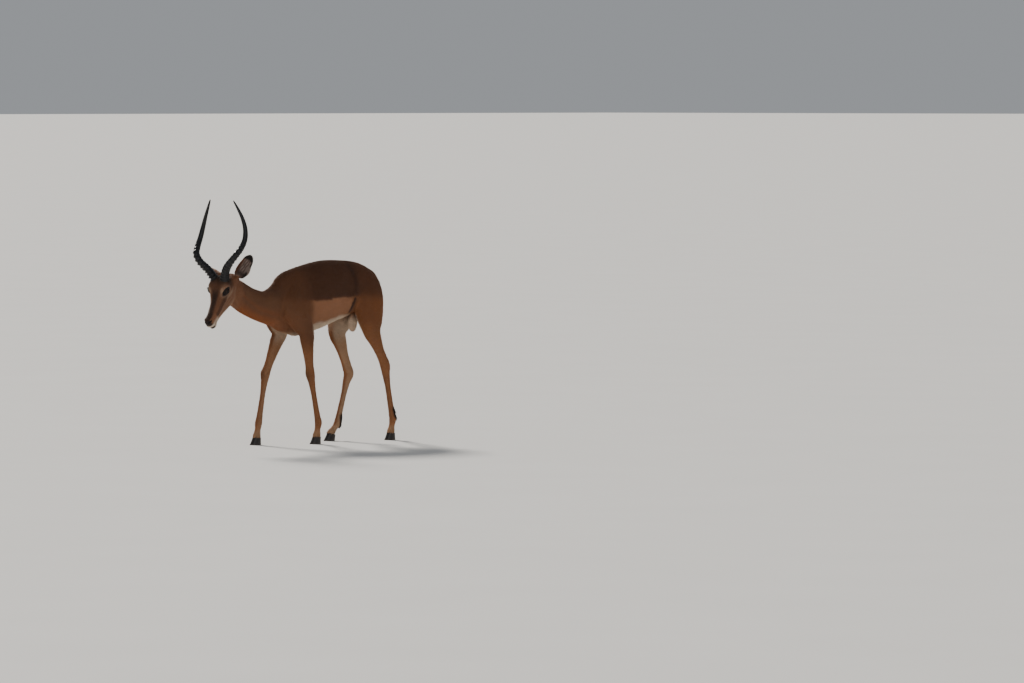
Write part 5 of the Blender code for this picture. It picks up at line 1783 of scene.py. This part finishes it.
def eye_piece(side, finish):
    """A dark ball with a long level pupil, and a cornea that stands a little proud."""
    sign = SIDES[side]
    gaze, corner, upward = eye_axes(sign)
    mesh = round_ball(72, 48)
    way = read_points(mesh)
    across, high, level = way.T
    radial, front = np.hypot(across, high), level > 0
    iris = front * rise(radial, 0.74, 0.66)
    marks = {
        "iris": iris,
        "middle of the iris": iris * rise(radial, 0.62, 0.36),
        "edge of the iris": front * np.exp(-(((radial - 0.70) / 0.05) ** 2)),
        "pupil": front * rise(np.hypot(across / 0.46, high / 0.25), 1.08, 0.94),
    }
    tint = np.tile(np.array(EYE_TONES["ball"]), (len(way), 1))
    for name, share in marks.items():
        tint = tint * (1 - share[:, None]) + np.array(EYE_TONES[name]) * share[:, None]
    bulge = 1 + 0.030 * front * rise(radial, 0.78, 0.35)
    points = (way * bulge[:, None]) @ np.stack([corner, upward, gaze]) * EYE_RADIUS
    write_points(mesh, placed(np.array(EYE) * (sign, 1, 1) + points, HEAD_FRAME))
    store_colours(mesh, tint)
    finish_piece("eyeball_" + side, facing_out(mesh), finish, "eye", "eye_" + side)


def lid_ways(turned, raised):
    """The ways out of the left eye, turned from its gaze towards the front corner and raised."""
    gaze, corner, upward = eye_axes()
    return unit(gaze + np.tan(turned)[:, None] * corner + np.tan(raised)[:, None] * upward)


def rim_piece(side, tree, finish, place_on_skin):
    """The dark moist edge of both lids."""
    turned = np.concatenate([np.linspace(-1, 1, RIM_HALF), np.linspace(1, -1, RIM_HALF)[1:-1]])
    upper = np.arange(len(turned)) < RIM_HALF
    turned = np.sin(turned * math.pi / 2)
    reach = lid_reach(turned)
    way = lid_ways(turned * LID_REACH, np.where(upper, LID_UPPER, -LID_LOWER) * reach)
    points = (np.array(EYE) + way * (EYE_RADIUS + RIM_PROUD)) * (SIDES[side], 1, 1)
    mesh = swept(tree, points, 0.0008 + 0.0003 * reach * upper, {
        "Sides": 10, "Rings": 0.0, "Ring height": 0.0, "Ringed share": 1.0, "Front": (0, 0, 1), "Caps": False,
        "Material": finish}, closed=True)
    keep_attributes(mesh, ())
    near = np.array([place_on_skin(p) for p in read_points(mesh)])
    write(mesh.uv_layers.new(name="OFBake").data, "uv", near[corner_points(mesh)])
    finish_piece("lid_rim_" + side, mesh, finish, "coat")


def lash_piece(side, tree, lock, finish, place_on_skin):
    """The lashes of the upper lid, longest behind its middle."""
    mirror = (SIDES[side], 1, 1)
    _, corner, upward = eye_axes()
    chance = np.random.default_rng(5)
    share = np.linspace(-0.92, 0.80, LASHES) + chance.uniform(-0.012, 0.012, LASHES)
    reach = lid_reach(share)
    way = lid_ways(share * LID_REACH, LID_UPPER * reach)
    roots = (np.array(EYE) + way * (EYE_RADIUS + LASH_PROUD)) * mirror
    stray = chance.uniform(-0.08, 0.08, (LASHES, 3))
    lie = unit(way * 0.85 + upward * 0.12 + share[:, None] * corner * 0.45 + stray)
    source = path_object(placed(roots, HEAD_FRAME), np.full(LASHES, 0.001))
    for name, vectors in (("lie", lie), ("up", np.tile(upward, (LASHES, 1)))):
        store(source.data, name, (vectors * mirror) @ axes_of(HEAD_FRAME).T, "vector")
    long = (0.0048 + 0.0040 * reach * (1 - 0.35 * share)) * chance.uniform(0.8, 1.15, LASHES)
    store(source.data, "long", long)
    near = np.array([place_on_skin(p) for p in read_points(source.data)])
    store(source.data, "root", np.concatenate([near, near[:, :1] * 0], axis=1), "vector")
    mesh = grown(tree, source, {"Lock": lock, "Width": 0.0007, "Material": finish})
    bpy.data.objects.remove(source, do_unlink=True)
    lay_patches(mesh, ())
    finish_piece("lashes_" + side, mesh, finish, "coat")


def claw_ring(foot, outer, t):
    """One ring of a claw, t of the way from the sole to the hair's edge; worn thinner at both."""
    toe = foot["toe"]
    place, up = coronet_plane(foot)
    ahead = -1.0 if toe[1] < foot["coronet"][1] else 1.0
    turn = np.linspace(0.0, 2 * math.pi, 40, endpoint=False)
    reach, sideways = np.cos(turn), np.sin(turn)
    bow = math.sin(math.pi * t)
    front = (toe[1] + ahead * 0.009) * (1 - t) + (place[1] + ahead * 0.0205) * t - ahead * 0.0022 * bow
    back = (toe[1] - ahead * 0.050) * (1 - t) + (place[1] - ahead * 0.0190) * t + ahead * 0.0010 * bow
    worn = 0.0008 * math.exp(-t / 0.04) + 0.0011 * math.exp((t - 1.0) / 0.05)
    ripple = 0.00030 * math.sin(t * 33.0) * (1 - t)
    middle, half = (front + back) / 2, abs(front - back) / 2 - worn + ripple
    y = middle + ahead * half * np.sign(reach) * np.abs(reach) ** 0.92
    top = place[2] - up[1] / up[2] * (y - place[1]) + 0.0012
    pointed = 1 - (0.48 - 0.26 * t) * np.maximum(reach, 0.0) ** 2
    width = HOOF_HALF_WIDTH * (1 - 0.10 * t) * pointed - worn + ripple
    width = np.where(sideways * outer < 0, width * 0.93, width)
    x = toe[0] + outer * (HOOF_SPLAY - 0.0020 * t) + width * sideways
    return np.stack([x, y, t * top], axis=1)


def hoof_piece(end, side, finish):
    """The two claws of one foot, from flat soles to the hair's edge."""
    foot = {"front": FORELEGS, "hind": HINDLEGS}[end][side]
    work = bmesh.new()
    for outer in (-1.0, 1.0):
        rings = [claw_ring(foot, outer, t) for t in np.linspace(0.0, 1.0, 18)]
        x = foot["toe"][0] + outer * HOOF_SPLAY
        first = Vector((x, rings[0][:, 1].mean(), 0.0))
        last = Vector((x, rings[-1][:, 1].mean(), rings[-1][:, 2].mean()))
        work.from_mesh(closed_tube(rings, first, last))
    mesh = bpy.data.meshes.new("claws")
    work.to_mesh(mesh)
    work.free()
    nodes = [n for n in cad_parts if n.startswith("hoof_%s_%s" % (end, side))]
    finish_piece("claws_%s_%s" % (end, side), facing_out(mesh), finish, "hoof", *nodes)


def build():
    skin, past = build_skin()
    mark(skin, Coat(skin, past))
    uneven, strands = uneven_group(), strand_group()
    hair = hair_material(uneven)
    source = new_object("skin source", skin.mesh.copy())
    lock, locks = tuft_template(), tuft_tree()
    for name in REGIONS:
        tuft_piece(name, source, locks, lock, hair)
    place_on_skin = skin_places(skin.mesh)
    lashes, lash = lash_tree(), lash_material()
    for side in SIDES:
        lash_piece(side, lashes, lock, lash, place_on_skin)
    for spare in (source, lock):
        bpy.data.objects.remove(spare, do_unlink=True)
    keep_attributes(skin.mesh, ("tint", "OFBake", "Strands"))
    flesh = [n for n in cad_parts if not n.startswith(("eye", "horn", "hoof"))]
    finish_piece("skin", skin.mesh, skin_material(uneven, strands), "coat", *flesh)
    sweep = sweep_tree()
    horn, hoof, glassy, rim = horn_material(uneven), hoof_material(uneven), eye_material(), rim_material()
    for side in SIDES:
        horn_piece(side, sweep, horn)
        eye_piece(side, glassy)
        rim_piece(side, sweep, rim, place_on_skin)
        for end in ("front", "hind"):
            hoof_piece(end, side, hoof)


# ---------------------------------------------------------------- studio and camera
FLOOR_SIZE = 900.0
SKY, SKY_STRENGTH = (0.86, 0.90, 0.95, 1.0), 0.36
LAMPS = {  # the way to each lamp, its spread in radians, strength and colour
    "key": ((-0.86, 0.30, 0.66), 0.20, 5.0, (1.0, 0.95, 0.88)),
    "fill": ((0.80, -0.72, 0.45), 0.90, 0.50, (0.96, 0.97, 1.0)),
}
LENS = 202.5
CAMERA_AZIMUTH, CAMERA_FAR, CAMERA_HIGH = math.radians(48.0), 30.0, 1.80
CAMERA_TURN, CAMERA_DOWN = math.radians(1.91), math.radians(2.43)


def placed_looking(name, data, location, way):
    """A lamp or camera at a place, looking a way."""
    made = new_object(name, data)
    made.location = location
    made.rotation_mode = "QUATERNION"
    made.rotation_quaternion = way.to_track_quat("-Z", "Y")
    return made


def studio():
    bpy.ops.mesh.primitive_plane_add(size=FLOOR_SIZE)
    floor = bpy.context.object
    floor.name = "floor"
    floor.data.materials.append(floor_material())
    world = bpy.data.worlds.new("pale room")
    world.use_nodes = True
    backdrop = world.node_tree.nodes["Background"]
    backdrop.inputs[0].default_value = SKY
    backdrop.inputs[1].default_value = SKY_STRENGTH
    bpy.context.scene.world = world
    for name, (way, spread, strength, colour) in LAMPS.items():
        light = bpy.data.lights.new(name, "SUN")
        light.angle = spread
        light.energy = strength
        light.color = colour
        placed_looking(name, light, Vector(way) * 5.0, -Vector(way))


def camera():
    """Thirty metres off the near fore quarter, a little above the back, through a long lens."""
    data = bpy.data.cameras.new("camera")
    data.sensor_width = 36.0
    data.lens = LENS
    data.clip_end = FLOOR_SIZE
    across, along = math.sin(CAMERA_AZIMUTH), math.cos(CAMERA_AZIMUTH)
    place = Vector((across * CAMERA_FAR, -along * CAMERA_FAR, CAMERA_HIGH))
    flat = Vector((-across, along, 0.0))
    flat.rotate(Matrix.Rotation(-CAMERA_TURN, 4, "Z"))
    ahead = flat * math.cos(CAMERA_DOWN) - Vector((0.0, 0.0, math.sin(CAMERA_DOWN)))
    bpy.context.scene.camera = placed_looking("camera", data, place + MOVE, ahead)


build()
studio()
camera()
